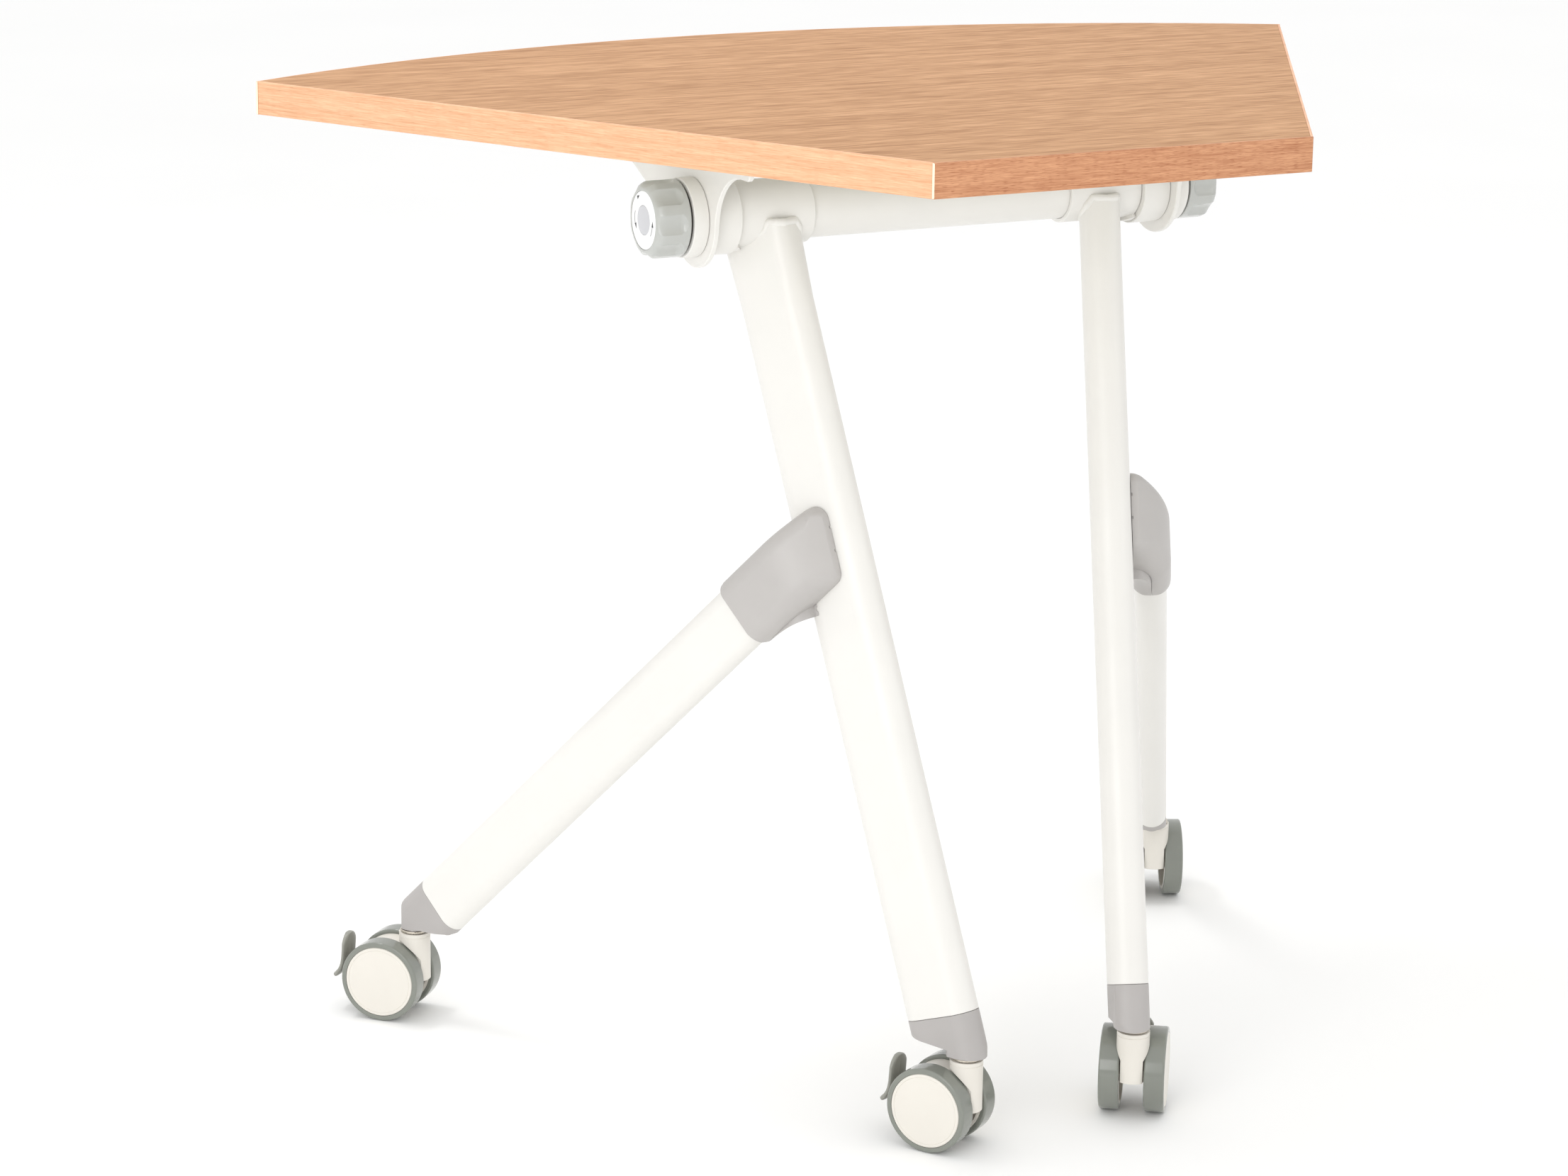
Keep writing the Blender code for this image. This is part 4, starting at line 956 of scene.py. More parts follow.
def knob_shape(look):
    """Knob with its inner face at x = 0 and its nose towards -X; its soft scallops fade on the nose."""
    low, high = span("knob_left")
    deep, radius = high - low, radius_of("knob_left")
    back_edge = ((0.0, 0.6 * MM), (-0.25 * MM, 0.2 * MM), (-0.7 * MM, 0.0))
    rim, flute_round, half_flute = 3.2 * MM, 5 * MM, 7.4 * MM
    recess_radius, recess_depth, nose_wall = 21.7 * MM, 0.9 * MM, 5 * MM
    straight, bend = 40, 16
    levels = list(back_edge)
    start = back_edge[-1][0]
    for i in range(1, straight + 1):
        levels.append((start - (deep - KNOB_NOSE_ROUND + start) * i / straight, 0.0))
    for i in range(1, bend + 1):
        angle = math.pi / 2 * i / bend
        inset = KNOB_NOSE_ROUND * (1 - math.cos(angle))
        levels.append((-deep + KNOB_NOSE_ROUND * (1 - math.sin(angle)), inset))
    angles = [math.tau * i / KNOB_SIDES for i in range(KNOB_SIDES)]
    pitch = math.tau / KNOB_FLUTES
    loops = []
    for level, inset in levels:
        fade = (1 - inset / KNOB_NOSE_ROUND) ** 1.5 if level < -rim else 1
        beyond = max(0.0, (level + rim + flute_round) / flute_round)
        loop = []
        for angle in angles:
            across = ((angle / pitch + 0.5) % 1 - 0.5) * pitch * radius / half_flute
            dip = max(0.0, 1 - across**2 - beyond**2)
            here = radius - inset - look.flute_depth * fade * dip**0.8
            loop.append((level, here * math.sin(angle), -here * math.cos(angle)))
        loops.append(loop)
    for reach, level in (
        (recess_radius + 0.3 * MM, -deep),
        (recess_radius, -deep + 0.15 * MM),
        (recess_radius, -deep + recess_depth),
    ):
        loops.append([(level, reach * math.sin(t), -reach * math.cos(t)) for t in angles])
    bore = cylinder(ROD_RADIUS + SEAT_GAP, -deep + nose_wall, 100 * MM, X)
    return combined(lofted(loops), ("DIFFERENCE", bore))


def joined(shapes):
    """One bmesh of several separate closed shapes."""
    whole = bmesh.new()
    for shape in shapes:
        mesh = mesh_of(shape)
        whole.from_mesh(mesh)
        bpy.data.meshes.remove(mesh)
    return whole


def on_dial(radius, degrees):
    """Point of the dial as its viewer sees it, with nought to the right and a quarter turn at the top."""
    angle = math.radians(degrees)
    return Vector((-radius * math.cos(angle), radius * math.sin(angle)))


def dial_marks(face):
    """Three arrow heads and two thin arcs, standing just proud of the dial."""
    ink = (face - 0.12 * MM, face + 0.1 * MM)
    tip_reach, base_reach, half_base = 2.5 * MM, 1.7 * MM, 1.4 * MM
    arc_radius, half_line, steps = 15.6 * MM, 0.2 * MM, 20
    shapes = []
    for degrees, radius, turn in ((121, 18.6 * MM, -1), (-4, 15.8 * MM, 1), (203, 14.8 * MM, 1)):
        centre = on_dial(radius, degrees)
        along = (on_dial(radius, degrees + turn) - centre).normalized()
        across = Vector((along.y, -along.x)) * half_base
        base = centre - along * base_reach
        shapes.append(extruded([centre + along * tip_reach, base + across, base - across], X, *ink))
    for start, end in ((162, 198), (-38, -8)):
        turns = [start + (end - start) * i / steps for i in range(steps + 1)]
        outline = [on_dial(arc_radius + half_line, turn) for turn in turns]
        outline += [on_dial(arc_radius - half_line, turn) for turn in reversed(turns)]
        shapes.append(extruded(outline, X, *ink))
    return joined(shapes)


class DESK_OT_knobs(bpy.types.Operator):
    """Make the clamp knobs with their flutes and dials, and a near-black ring of painted shade in the gap
    behind each
    """

    bl_idname = "desk.knobs"
    bl_label = "Knobs"

    def execute(self, context):
        look = context.scene.desk_plastic_look
        # The near-black finish paints the shade of the gap behind each knob
        grey, dark = skin_finish("knob_plastic", look.knob), skin_finish("knob_washer_rubber", look.washer)
        white, middle = skin_finish("dial_white", look.dial), skin_finish("dial_grey", look.dial_centre)
        ink = skin_finish("dial_ink", look.ink)
        low, high = span("knob_left")
        nose = low - high
        face, seat = nose + 0.3 * MM, nose + 0.7 * MM
        # Thin ring behind the knob that carries the painted gap shade
        washer = ring_profile(ROD_RADIUS + SEAT_GAP, KNOB_GAP_SHADE_RADIUS, 0.1 * MM, 1.8 * MM, 0.3 * MM)
        plate = ring_profile(DIAL_HOLE, DIAL_RADIUS, face, seat, 0.125 * MM)
        disc = (
            (DIAL_CENTRE_RADIUS - 0.45 * MM, nose + 0.1 * MM),
            (DIAL_CENTRE_RADIUS, nose + 0.35 * MM),
            (DIAL_CENTRE_RADIUS, seat),
        )
        to_left = Matrix.Translation((high, BEAM.y, BEAM.z))
        for name, shape, finish, slot, node in (
            ("knob_grip", knob_shape(look), grey, "knob_plastic", "knob"),
            # Ring of painted shade in the gap behind the knob
            ("knob_washer", turned(washer, X, closed=True), dark, "knob_plastic", None),
            ("dial_plate", turned(plate, X, closed=True), white, "dial_plate", "knob_dial"),
            ("dial_centre", turned(disc, X), middle, "dial_plate", "knob_dial"),
            ("dial_marks", dial_marks(face), ink, "dial_plate", "knob_dial"),
        ):
            add_pair(name, moved(shape, to_left), finish, "knob_{}", node)
        return {"FINISHED"}


# Legs, made in the leg plane from the foot of the main leg: x runs back, y up the plane, z inwards


def leg_plane():
    """Matrix from the leg plane to the desk, for the left leg."""
    along = Vector((-math.sin(LEG_PLAN_ANGLE), math.cos(LEG_PLAN_ANGLE), 0))
    inwards = along.cross(LEG_HEAD - LEG_FOOT).normalized()
    plane = Matrix((along, inwards.cross(along), inwards)).transposed().to_4x4()
    plane.translation = LEG_FOOT
    return plane


LEG_PLANE = leg_plane()
TO_LEG_PLANE = LEG_PLANE.inverted()
LEG_TOP = TO_LEG_PLANE @ LEG_HEAD
LEG_ALONG = LEG_TOP.normalized()
LEG_REARWARDS = Vector((LEG_ALONG.y, -LEG_ALONG.x, 0))
UPRIGHT = TO_LEG_PLANE.to_3x3() @ Vector((0, 0, 1))
BEAM_ALONG = TO_LEG_PLANE.to_3x3() @ Vector((1, 0, 0))
BRACE_JOINT = LEG_ALONG * BRACE_JOINT_UP + Vector((0, 0, -BRACE_OFFSET))
BRACE_ALONG = (BRACE_JOINT - BRACE_FOOT).normalized()
BRACE_UPPER = Vector((BRACE_ALONG.y, -BRACE_ALONG.x, 0))
COVER_END = BRACE_JOINT - BRACE_ALONG * COVER_REACH


def powered(value, power):
    """Size of a value raised to a power, with the value's own sign."""
    return math.copysign(abs(value) ** power, value)


def oval_points(width, depth, start, along, power=1.0):
    """Flat-oval section round a line, square to it; a power under one squares its round ends."""
    across = Vector((along.y, -along.x, 0))
    radius = depth / 2
    points = []
    for side in (1, -1):
        middle = start + across * side * (width / 2 - radius)
        for i in range(OVAL_STEPS + 1):
            angle = math.pi * (i / OVAL_STEPS - 0.5)
            out = powered(math.cos(angle), power) * radius * side
            rise = powered(math.sin(angle), power) * radius * side
            points.append(middle + across * out + Vector((0, 0, rise)))
    return points


def to_sleeve(point):
    """Distance up the leg from a point to the sleeve, or to the flat top of the leg if that comes first."""
    roof = (LEG_TOP - UPRIGHT * LEG_TOP_DROP - point).dot(UPRIGHT) / LEG_ALONG.dot(UPRIGHT)
    across = point - LEG_TOP
    across -= BEAM_ALONG * across.dot(BEAM_ALONG)
    along = LEG_ALONG - BEAM_ALONG * LEG_ALONG.dot(BEAM_ALONG)
    radius = radius_of("sleeve_left") + 0.1 * MM
    half = across.dot(along) / along.length_squared
    inside = half**2 - (across.length_squared - radius**2) / along.length_squared
    if inside < 0:
        return roof
    return min(roof, -half - math.sqrt(inside))


def leg_section(inset, power=1.0):
    """Section of the main leg at its foot, drawn in by an inset."""
    return oval_points(MAIN_TUBE[0] - 2 * inset, MAIN_TUBE[1] - 2 * inset, Vector(), LEG_ALONG, power)


def leg_head(section):
    """The section carried up to the sleeve."""
    return [point + LEG_ALONG * to_sleeve(point) for point in section]


def main_leg_shape():
    """Open flat-oval tube from its foot to the sleeve, pressed squarer over its last part."""
    outer, break_edge = leg_section(0), 0.4 * MM
    loops = [leg_section(break_edge), [point + LEG_ALONG * break_edge for point in outer]]
    loops.append([point + LEG_ALONG * (LEG_TOP.length - LEG_NECK) for point in outer])
    loops.append(leg_head(leg_section(0, HEAD_POWER)))
    loops += [leg_head(leg_section(TUBE_WALL, HEAD_POWER)), leg_section(TUBE_WALL)]
    return lofted(loops, closed=True)


def weld_shape(look):
    """Bead along the joint of leg and sleeve, a little uneven."""
    edge_inset, face_inset, finer, sides = 0.8 * MM, 2.2 * MM, 3, 12
    section = leg_section(0, HEAD_POWER)
    wide, narrow = (leg_head(leg_section(inset, HEAD_POWER)) for inset in (edge_inset, face_inset))
    half = MAIN_TUBE[0] / 2
    path = [b.lerp(a, (p.dot(LEG_REARWARDS) / half) ** 4) for p, a, b in zip(section, wide, narrow)]
    path = [a.lerp(b, k / finer) for a, b in zip(path, path[1:] + path[:1]) for k in range(finer)]
    loops = []
    for i, point in enumerate(path):
        ahead = (path[(i + finer) % len(path)] - path[i - finer]).normalized()
        side = ahead.cross(LEG_ALONG).normalized()
        up = side.cross(ahead)
        ripple = 1 + 0.05 * math.sin(i * 0.7) + 0.04 * math.sin(i * 0.3 + 1)
        loop = []
        for j in range(sides):
            angle = math.tau * j / sides
            loop.append(point + (side * math.cos(angle) + up * math.sin(angle)) * look.weld_radius * ripple)
        loops.append(loop)
    return lofted(loops, closed=True)


def sleeve_lip_shape():
    """Tongue under the outer end of the sleeve that runs to a point at the leg."""
    start = span("sleeve_left")[0] + 0.1 * MM
    sleeve = radius_of("sleeve_left")
    low, high, tip_drop, least_half = sleeve - 0.5 * MM, sleeve + 2.8 * MM, 1.4 * MM, 0.02
    reach, widest, steps, points = 9.5 * MM, math.radians(36), 10, 24
    loops = []
    for i in range(steps + 1):
        share = i / steps
        half = widest * (1 - share**2) + least_half
        top = high - tip_drop * share**3
        turns = [-math.pi / 2 - half + 2 * half * j / points for j in range(points + 1)]
        level = start + reach * share
        loop = [on_axis(X, top * math.cos(t), top * math.sin(t), level) for t in turns]
        loop += [on_axis(X, low * math.cos(t), low * math.sin(t), level) for t in reversed(turns)]
        loops.append(loop)
    return lofted(loops)


def brace_shape():
    """Open flat-oval tube from its foot to where the cover hides it."""
    loops = []
    for wall in (0.0, TUBE_WALL):
        section = oval_points(BRACE_TUBE[0] - 2 * wall, BRACE_TUBE[1] - 2 * wall, BRACE_FOOT, BRACE_ALONG)
        end = BRACE_JOINT + LEG_REARWARDS * BRACE_END_BACK
        reach = [(end - point).dot(LEG_REARWARDS) / BRACE_ALONG.dot(LEG_REARWARDS) for point in section]
        tip = [point + BRACE_ALONG * step for point, step in zip(section, reach)]
        loops += [section, tip] if not wall else [tip, section]
    return lofted(loops, closed=True)


class DESK_OT_legs(bpy.types.Operator):
    """Make the main legs, their welds and the braces"""

    bl_idname = "desk.legs"
    bl_label = "Legs"

    def execute(self, context):
        coat = white_coat(context)
        for name, shape, place, node in (
            ("leg_tube", main_leg_shape(), LEG_PLANE, "main_leg"),
            ("leg_weld", weld_shape(context.scene.desk_frame_look), LEG_PLANE, None),
            ("sleeve_lip", sleeve_lip_shape(), at_beam(), None),
            ("brace_tube", brace_shape(), LEG_PLANE, "brace"),
        ):
            add_pair(name, moved(shape, place), coat, "frame", node)
        return {"FINISHED"}


# Joint covers


def cover_sides(corners, steps=10):
    """Four boundary curves between the middles of the rounded corners, as flat points.

    Corners come as (point, radius) in the order low end, high end, peak, heel.
    """
    outline = rounded([(tuple(point), radius) for point, radius in corners], steps)
    middles = []
    at = 0
    for _, radius in corners:
        count = steps + 1 if radius else 1
        middles.append(at + count // 2)
        at += count
    curves = []
    for first, second in ((0, 1), (1, 2), (2, 3), (3, 0)):
        start = middles[first]
        end = middles[second] if second else middles[0] + len(outline)
        curves.append([outline[i % len(outline)] for i in range(start, end + 1)])
    return curves


def evenly(curve, shares):
    """Points at the given shares of a curve's length."""
    points = np.array(curve)
    steps = np.hypot(*np.diff(points, axis=0).T)
    along = np.concatenate(([0], np.cumsum(steps)))
    return np.column_stack([np.interp(np.array(shares) * along[-1], along, points[:, k]) for k in (0, 1)])


def edge_shares(count):
    """Shares from nought to one that crowd towards both ends."""
    return [(1 - math.cos(math.pi * i / count)) / 2 for i in range(count + 1)]


def cover_grid(corners, count_along, count_across):
    """Flat grid that fills a four-sided outline with round corners, and its end, high, leg and low curves.

    The first index runs from the brace end to the leg, the second from the low side to the high side.
    """
    end, high, leg, low = cover_sides(corners)
    along, across = edge_shares(count_along), edge_shares(count_across)
    low_points = evenly(low[::-1], along)
    high_points = evenly(high, along)
    end_points = evenly(end, across)
    leg_points = evenly(leg[::-1], across)
    u, v = np.array(along)[:, None, None], np.array(across)[None, :, None]
    grid = (1 - v) * low_points[:, None] + v * high_points[:, None]
    grid = grid + (1 - u) * end_points[None] + u * leg_points[None]
    grid -= (1 - u) * ((1 - v) * end_points[0] + v * end_points[-1])
    grid -= u * ((1 - v) * leg_points[0] + v * leg_points[-1])
    return grid, end, high, leg, low


def sunk(grid, rim, radius):
    """How far each grid point sinks in the rounding along a rim line, with a radius for each rim point."""
    step = np.diff(rim, axis=0)
    apart = grid[..., None, :] - rim[:-1]
    share = np.clip((apart * step).sum(axis=-1) / (step**2).sum(axis=-1), 0, 1)
    apart = np.linalg.norm(apart - share[..., None] * step, axis=-1)
    nearest = apart.argmin(axis=-1)[..., None]
    share = np.take_along_axis(share, nearest, -1)[..., 0]
    distance = np.take_along_axis(apart, nearest, -1)[..., 0]
    nearest = nearest[..., 0]
    own = radius[nearest] + share * (radius[nearest + 1] - radius[nearest])
    inside = np.clip(own - distance, 0, None)
    return own - np.sqrt(np.clip(own**2 - inside**2, 0, None))


def rim_drop(grid, line, radius, end):
    """How far each grid point sinks in the roundings along the rim line and along the brace end."""
    return np.maximum(sunk(grid, line, radius), sunk(grid, end, np.full(len(end), COVER_RIM_ROUND)))


def rim_line(high, leg, low):
    """High, leg and low curves as one line, and how far each point is into the leg curve from its ends."""
    shares = np.linspace(0, 1, 150)
    line = np.vstack([evenly(high, shares)[:-1], evenly(leg, shares), evenly(low, shares)[1:]])
    leg_length = np.hypot(*np.diff(np.array(leg), axis=0).T).sum()
    into = np.minimum(shares, 1 - shares) * leg_length
    beside = np.zeros(len(shares) - 1)
    return line, np.concatenate((beside, into, beside))


def grid_shell(grid, outer, inner):
    """Closed shape between two heights over a flat grid, measured outwards from the leg plane."""
    shape = bmesh.new()
    layers = []
    rows, columns = grid.shape[:2]
    for heights in (outer, inner):
        layer = []
        for i in range(rows):
            layer.append([shape.verts.new((*grid[i, j], -heights[i, j])) for j in range(columns)])
        layers.append(layer)
    for layer in layers:
        for i in range(rows - 1):
            for j in range(columns - 1):
                shape.faces.new((layer[i][j], layer[i + 1][j], layer[i + 1][j + 1], layer[i][j + 1]))
    edge = [(i, 0) for i in range(rows)] + [(rows - 1, j) for j in range(1, columns)]
    edge += [(i, columns - 1) for i in range(rows - 2, -1, -1)]
    edge += [(0, j) for j in range(columns - 2, 0, -1)]
    for (i, j), (k, m) in zip(edge, edge[1:] + edge[:1]):
        shape.faces.new((layers[0][i][j], layers[0][k][m], layers[1][k][m], layers[1][i][j]))
    bmesh.ops.recalc_face_normals(shape, faces=shape.faces)
    return shape


def flat_crossing(point_a, along_a, point_b, along_b):
    """Where two flat lines cross."""
    gap = point_b - point_a
    share = (gap.x * along_b.y - gap.y * along_b.x) / (along_a.x * along_b.y - along_a.y * along_b.x)
    return point_a + along_a * share


def behind_leg_axis(grid):
    """Distance of each grid point behind the main leg's axis."""
    start = BRACE_JOINT.to_2d()
    return (grid[..., 0] - start.x) * LEG_REARWARDS.x + (grid[..., 1] - start.y) * LEG_REARWARDS.y


def parting_level(back):
    """Height of the joint of the halves: the leg's face, then a quarter curve to the brace's middle."""
    leg_face = MAIN_TUBE[1] / 2 + SEAT_GAP
    share = np.clip((back - INNER_COVER_BACK) / PARTING_RUN, 0, 1)
    return leg_face + (BRACE_OFFSET - leg_face) * np.sqrt(1 - (1 - share) ** 2)


def brace_room(grid):
    """Half the thickness of the brace tube over each grid point, and nought beside the tube."""
    radius, gap = BRACE_TUBE[1] / 2, 0.2 * MM
    off = grid - np.array(COVER_END.to_2d())
    beside = np.abs(off[..., 0] * BRACE_UPPER.x + off[..., 1] * BRACE_UPPER.y)
    beside = np.clip(beside - (BRACE_TUBE[0] / 2 - radius), 0, None)
    room = np.sqrt(np.clip((radius + gap) ** 2 - beside**2, 0, None))
    return np.where(behind_leg_axis(grid) > BRACE_END_BACK - SEAT_GAP, room, 0)


def cover_corners(lap):
    """Corners of the cover seen square to the leg plane, up to a line a lap ahead of the leg's axis."""
    half = BRACE_TUBE[0] / 2 + COVER_SIDE_SKIN
    end_low = (COVER_END - BRACE_UPPER * half).to_2d()
    end_high = (COVER_END + BRACE_UPPER * half).to_2d()
    line = (BRACE_JOINT - LEG_REARWARDS * lap).to_2d()
    peak = flat_crossing(end_high, BRACE_ALONG.to_2d(), line, LEG_ALONG.to_2d())
    heel = flat_crossing(end_low, BRACE_ALONG.to_2d(), line, LEG_ALONG.to_2d())
    return end_low, end_high, peak, heel


def outer_dome(back):
    """Height of the outer half: a steep wall at the leg edge, then a quarter curve to the brace end."""
    foot = MAIN_TUBE[1] / 2
    low = foot + COVER_LEG_EDGE
    full = BRACE_OFFSET + BRACE_TUBE[1] / 2 + COVER_SKIN
    into = back + COVER_LEG_LAP - COVER_WALL_RUN
    wall = low + np.minimum(into, 0) * (low - foot) / COVER_WALL_RUN
    left = np.clip(1 - np.maximum(into, 0) / COVER_DOME_RUN, 0, 1)
    return wall + (full - low) * (1 - left**COVER_DOME_POWER)


def side_rounding(into, depth, leg_round):
    """Radius along the rim: up to a full shoulder on the long sides, small along the leg."""
    left_flat, least, run_out = 0.4 * MM, 1 * MM, 14 * MM
    radius = np.clip(depth - left_flat, least, COVER_SHOULDER)
    share = np.clip(into / run_out, 0, 1)
    share = share**2 * (3 - 2 * share)
    return radius + (np.minimum(radius, leg_round) - radius) * share


def outer_cover_shape():
    """Housing on the outer face of the leg, with a full shoulder on both long sides."""
    radii = (COVER_END_ROUND, COVER_END_ROUND, COVER_PEAK_ROUND, COVER_HEEL_ROUND)
    corners = cover_corners(COVER_LEG_LAP)
    grid, end, high, leg, low = cover_grid(list(zip(corners, radii)), *OUTER_COVER_GRID)
    back = behind_leg_axis(grid)
    line, into = rim_line(high, leg, low)
    line_back = behind_leg_axis(line)
    height = np.maximum(outer_dome(line_back), MAIN_TUBE[1] / 2 + COVER_LEG_EDGE)
    radius = side_rounding(into, height - parting_level(line_back), OUTER_LEG_ROUND)
    end = evenly(end, np.linspace(0, 1, RIM_STEPS))
    drop = rim_drop(grid, line, radius, end)
    room = brace_room(grid)
    base = np.where(room > 0, BRACE_OFFSET + room, parting_level(back) + PARTING_GAP)
    shell = grid_shell(grid, np.maximum(outer_dome(back) - drop, base + COVER_LEAST_SKIN), base)
    steps = []
    peak, heel = corners[2], corners[3]
    face = MAIN_TUBE[1] / 2
    ahead, over = LEG_ALONG.to_2d() * POCKET_HALF_LENGTH, LEG_REARWARDS.to_2d() * POCKET_HALF_WIDTH
    for share in POCKET_SHARES:
        middle = peak.lerp(heel, share)
        pocket = [middle + ahead * a + over * b for a, b in ((1, 1), (1, -1), (-1, -1), (-1, 1))]
        steps.append(("DIFFERENCE", extruded(pocket, Z, -face - POCKET_DEPTH, -face)))
    return combined(shell, *steps)


def flared(points):
    """Draw the lower side of the inner half down along the leg in a soft sweep."""
    off = points - np.array(COVER_END.to_2d())
    upper = off[..., 0] * BRACE_UPPER.x + off[..., 1] * BRACE_UPPER.y
    half = BRACE_TUBE[0] / 2 + COVER_SIDE_SKIN
    near = np.clip(1 - (behind_leg_axis(points) - INNER_COVER_BACK) / FLARE_RUN, 0, 1)
    drop = FLARE * near**2 * np.clip((half - upper) / (2 * half), 0, 1)
    return points - drop[..., None] * np.array(BRACE_UPPER.to_2d())


def inner_cover_shape():
    """Half shell round the inner side of the brace, with a notch where it meets the main leg."""
    radii = (COVER_END_ROUND, COVER_END_ROUND, INNER_PEAK_ROUND, INNER_HEEL_ROUND)
    corners = cover_corners(-INNER_COVER_BACK)
    grid, end, high, leg, low = cover_grid(list(zip(corners, radii)), *INNER_COVER_GRID)
    line, into = rim_line(high, leg, low)
    grid, line, end = flared(grid), flared(line), flared(evenly(end, np.linspace(0, 1, RIM_STEPS)))
    full = BRACE_OFFSET - BRACE_TUBE[1] / 2 - COVER_SKIN
    radius = side_rounding(into, parting_level(behind_leg_axis(line)) - full, INNER_LEG_ROUND)
    drop = rim_drop(grid, line, radius, end)
    room = brace_room(grid)
    top = np.where(room > 0, BRACE_OFFSET - room, parting_level(behind_leg_axis(grid)) - PARTING_GAP)
    shell = grid_shell(grid, top, np.minimum(full + drop, top - COVER_LEAST_SKIN))
    notch = cylinder(NOTCH_RADIUS, -BRACE_OFFSET, 0, Z)
    heel = flared(np.array(corners[3]))
    moved(notch, Matrix.Translation((*(Vector(heel) + LEG_ALONG.to_2d() * NOTCH_UP), 0)))
    return combined(shell, ("DIFFERENCE", notch))


class DESK_OT_covers(bpy.types.Operator):
    """Make the halves of the two brace joint covers"""

    bl_idname = "desk.covers"
    bl_label = "Joint covers"

    def execute(self, context):
        grey = skin_finish("cover_plastic", context.scene.desk_plastic_look.cover)
        for half, shape in (("outer", outer_cover_shape()), ("inner", inner_cover_shape())):
            node = f"joint_cover_{half}"
            add_pair(f"cover_{half}", moved(shape, LEG_PLANE), grey, "frame", node)
        return {"FINISHED"}


# Foot caps


def oval_bar(width, depth, start, along, low, high):
    """Solid flat-oval bar between two distances along its line, cut square."""
    section = oval_points(width, depth, start, along)
    return lofted([[point + along * level for point in section] for level in (low, high)])


def cap_shape(seat, tube, foot, along, boss_radius, rise, heel_side):
    """Foot cap: the tube's section carried on to the sole, with a round nose, a boss and a plug.

    seat is where the stem's washer meets it. rise is the sole's height over the seat and its slope.
    heel_side is 1 where the heel lies behind the stem and -1 where it lies ahead.
    """
    width, depth = tube
    reach, rear_gap, boss_gap = MAIN_TUBE[0], 0.4 * MM, 0.02 * MM
    body = oval_bar(width, depth, foot, along, -2 * reach, -SEAT_GAP)
    stand = TO_LEG_PLANE.to_3x3().to_4x4()
    stand.translation = seat
    nose = arc((0, 0), boss_radius, math.pi / 2, 1.5 * math.pi, 40)
    nose = extruded([*nose, (2 * reach, -width), (2 * reach, width)], Z, 0, 3 * reach)
    moved(nose, stand @ Matrix.Rotation(LEG_PLAN_ANGLE + heel_side * math.pi / 2, 4, "Z"))

    across = Vector((along.y, -along.x)) * heel_side
    sole = Vector((seat.x, seat.y + rise[0]))
    rear = foot.to_2d() + across * (width / 2 + rear_gap)
    sole_along = Vector((heel_side, math.tan(rise[1])))
    heel = flat_crossing(sole, sole_along, rear, along.to_2d())
    start, top = sole - sole_along * reach, heel + along.to_2d() * 3 * reach
    far_x, far_y = heel.x + heel_side * 4 * reach, seat.y - reach
    corners = [(start, 0), (heel, CAP_HEEL_ROUND), (top, 0)]
    corners += [((far_x, top.y), 0), ((far_x, far_y), 0), ((start.x, far_y), 0)]
    below = extruded(rounded(corners, steps=12), Z, foot.z - 2 * depth, foot.z + 2 * depth)
    boss = moved(cylinder(boss_radius + boss_gap, -2 * reach, 2 * reach, Z, sides=80), stand)
    below = combined(below, ("DIFFERENCE", boss))

    fit = 2 * (TUBE_WALL + SEAT_GAP)
    plug = oval_bar(width - fit, depth - fit, foot, along, -CAP_PLUG / 2, CAP_PLUG)
    outside = combined(body, ("INTERSECT", nose), ("DIFFERENCE", below), edge=CAP_EDGE_ROUND)
    bore = cylinder(STEM_RADIUS + SEAT_GAP, -STEM_INSERT, STEM_INSERT + SEAT_GAP, Z)
    return combined(outside, ("UNION", plug), ("DIFFERENCE", moved(bore, stand)))


class DESK_OT_caps(bpy.types.Operator):
    """Make the foot caps between the tubes and the castors"""

    bl_idname = "desk.caps"
    bl_label = "Foot caps"

    def execute(self, context):
        grey = skin_finish("cap_plastic", context.scene.desk_plastic_look.cap)
        front = (MAIN_TUBE, Vector(), LEG_ALONG, FRONT_BOSS_RADIUS, FRONT_SOLE, 1)
        rear = (BRACE_TUBE, BRACE_FOOT, BRACE_ALONG, REAR_BOSS_RADIUS, REAR_SOLE, -1)
        for end, measures in (("front", front), ("rear", rear)):
            stem = JOINTS[f"castor_{end}_left_swivel"]["pos_m"]
            seat = TO_LEG_PLANE @ Vector((*stem[:2], STEM_SEAT))
            shape = moved(cap_shape(seat, *measures), LEG_PLANE)
            add_pair(f"cap_{end}", shape, grey, "frame", f"foot_cap_{end}")
        return {"FINISHED"}


# Castors, made with the stem on the Z axis, the floor at zero and the wheels trailing along +X


TO_AXLE = Matrix.Translation((CASTOR_TRAIL, 0, WHEEL_RADIUS))


def castor_place(name):
    """Matrix from a castor's own space to the desk."""
    stem = Vector(JOINTS[f"castor_{name}_swivel"]["pos_m"])
    axle = Vector(JOINTS[f"wheel_{name}_a_roll"]["pos_m"])
    along = Vector((axle.x - stem.x, axle.y - stem.y, 0)).normalized()
    place = Matrix((along, Vector((-along.y, along.x, 0)), Vector((0, 0, 1)))).transposed().to_4x4()
    place.translation = (stem.x, stem.y, 0)
    return place


def add_four(name, shape, finish, body, node):
    """One piece for each castor from a shape, which is used up; {} in body stands for the castor."""
    for castor in CASTORS:
        rider, nodes = body.format(castor), (f"{node}_{castor}",)
        add_piece(f"{name}_{castor}", shape.copy(), finish, rider, nodes, castor_place(castor))
    shape.free()


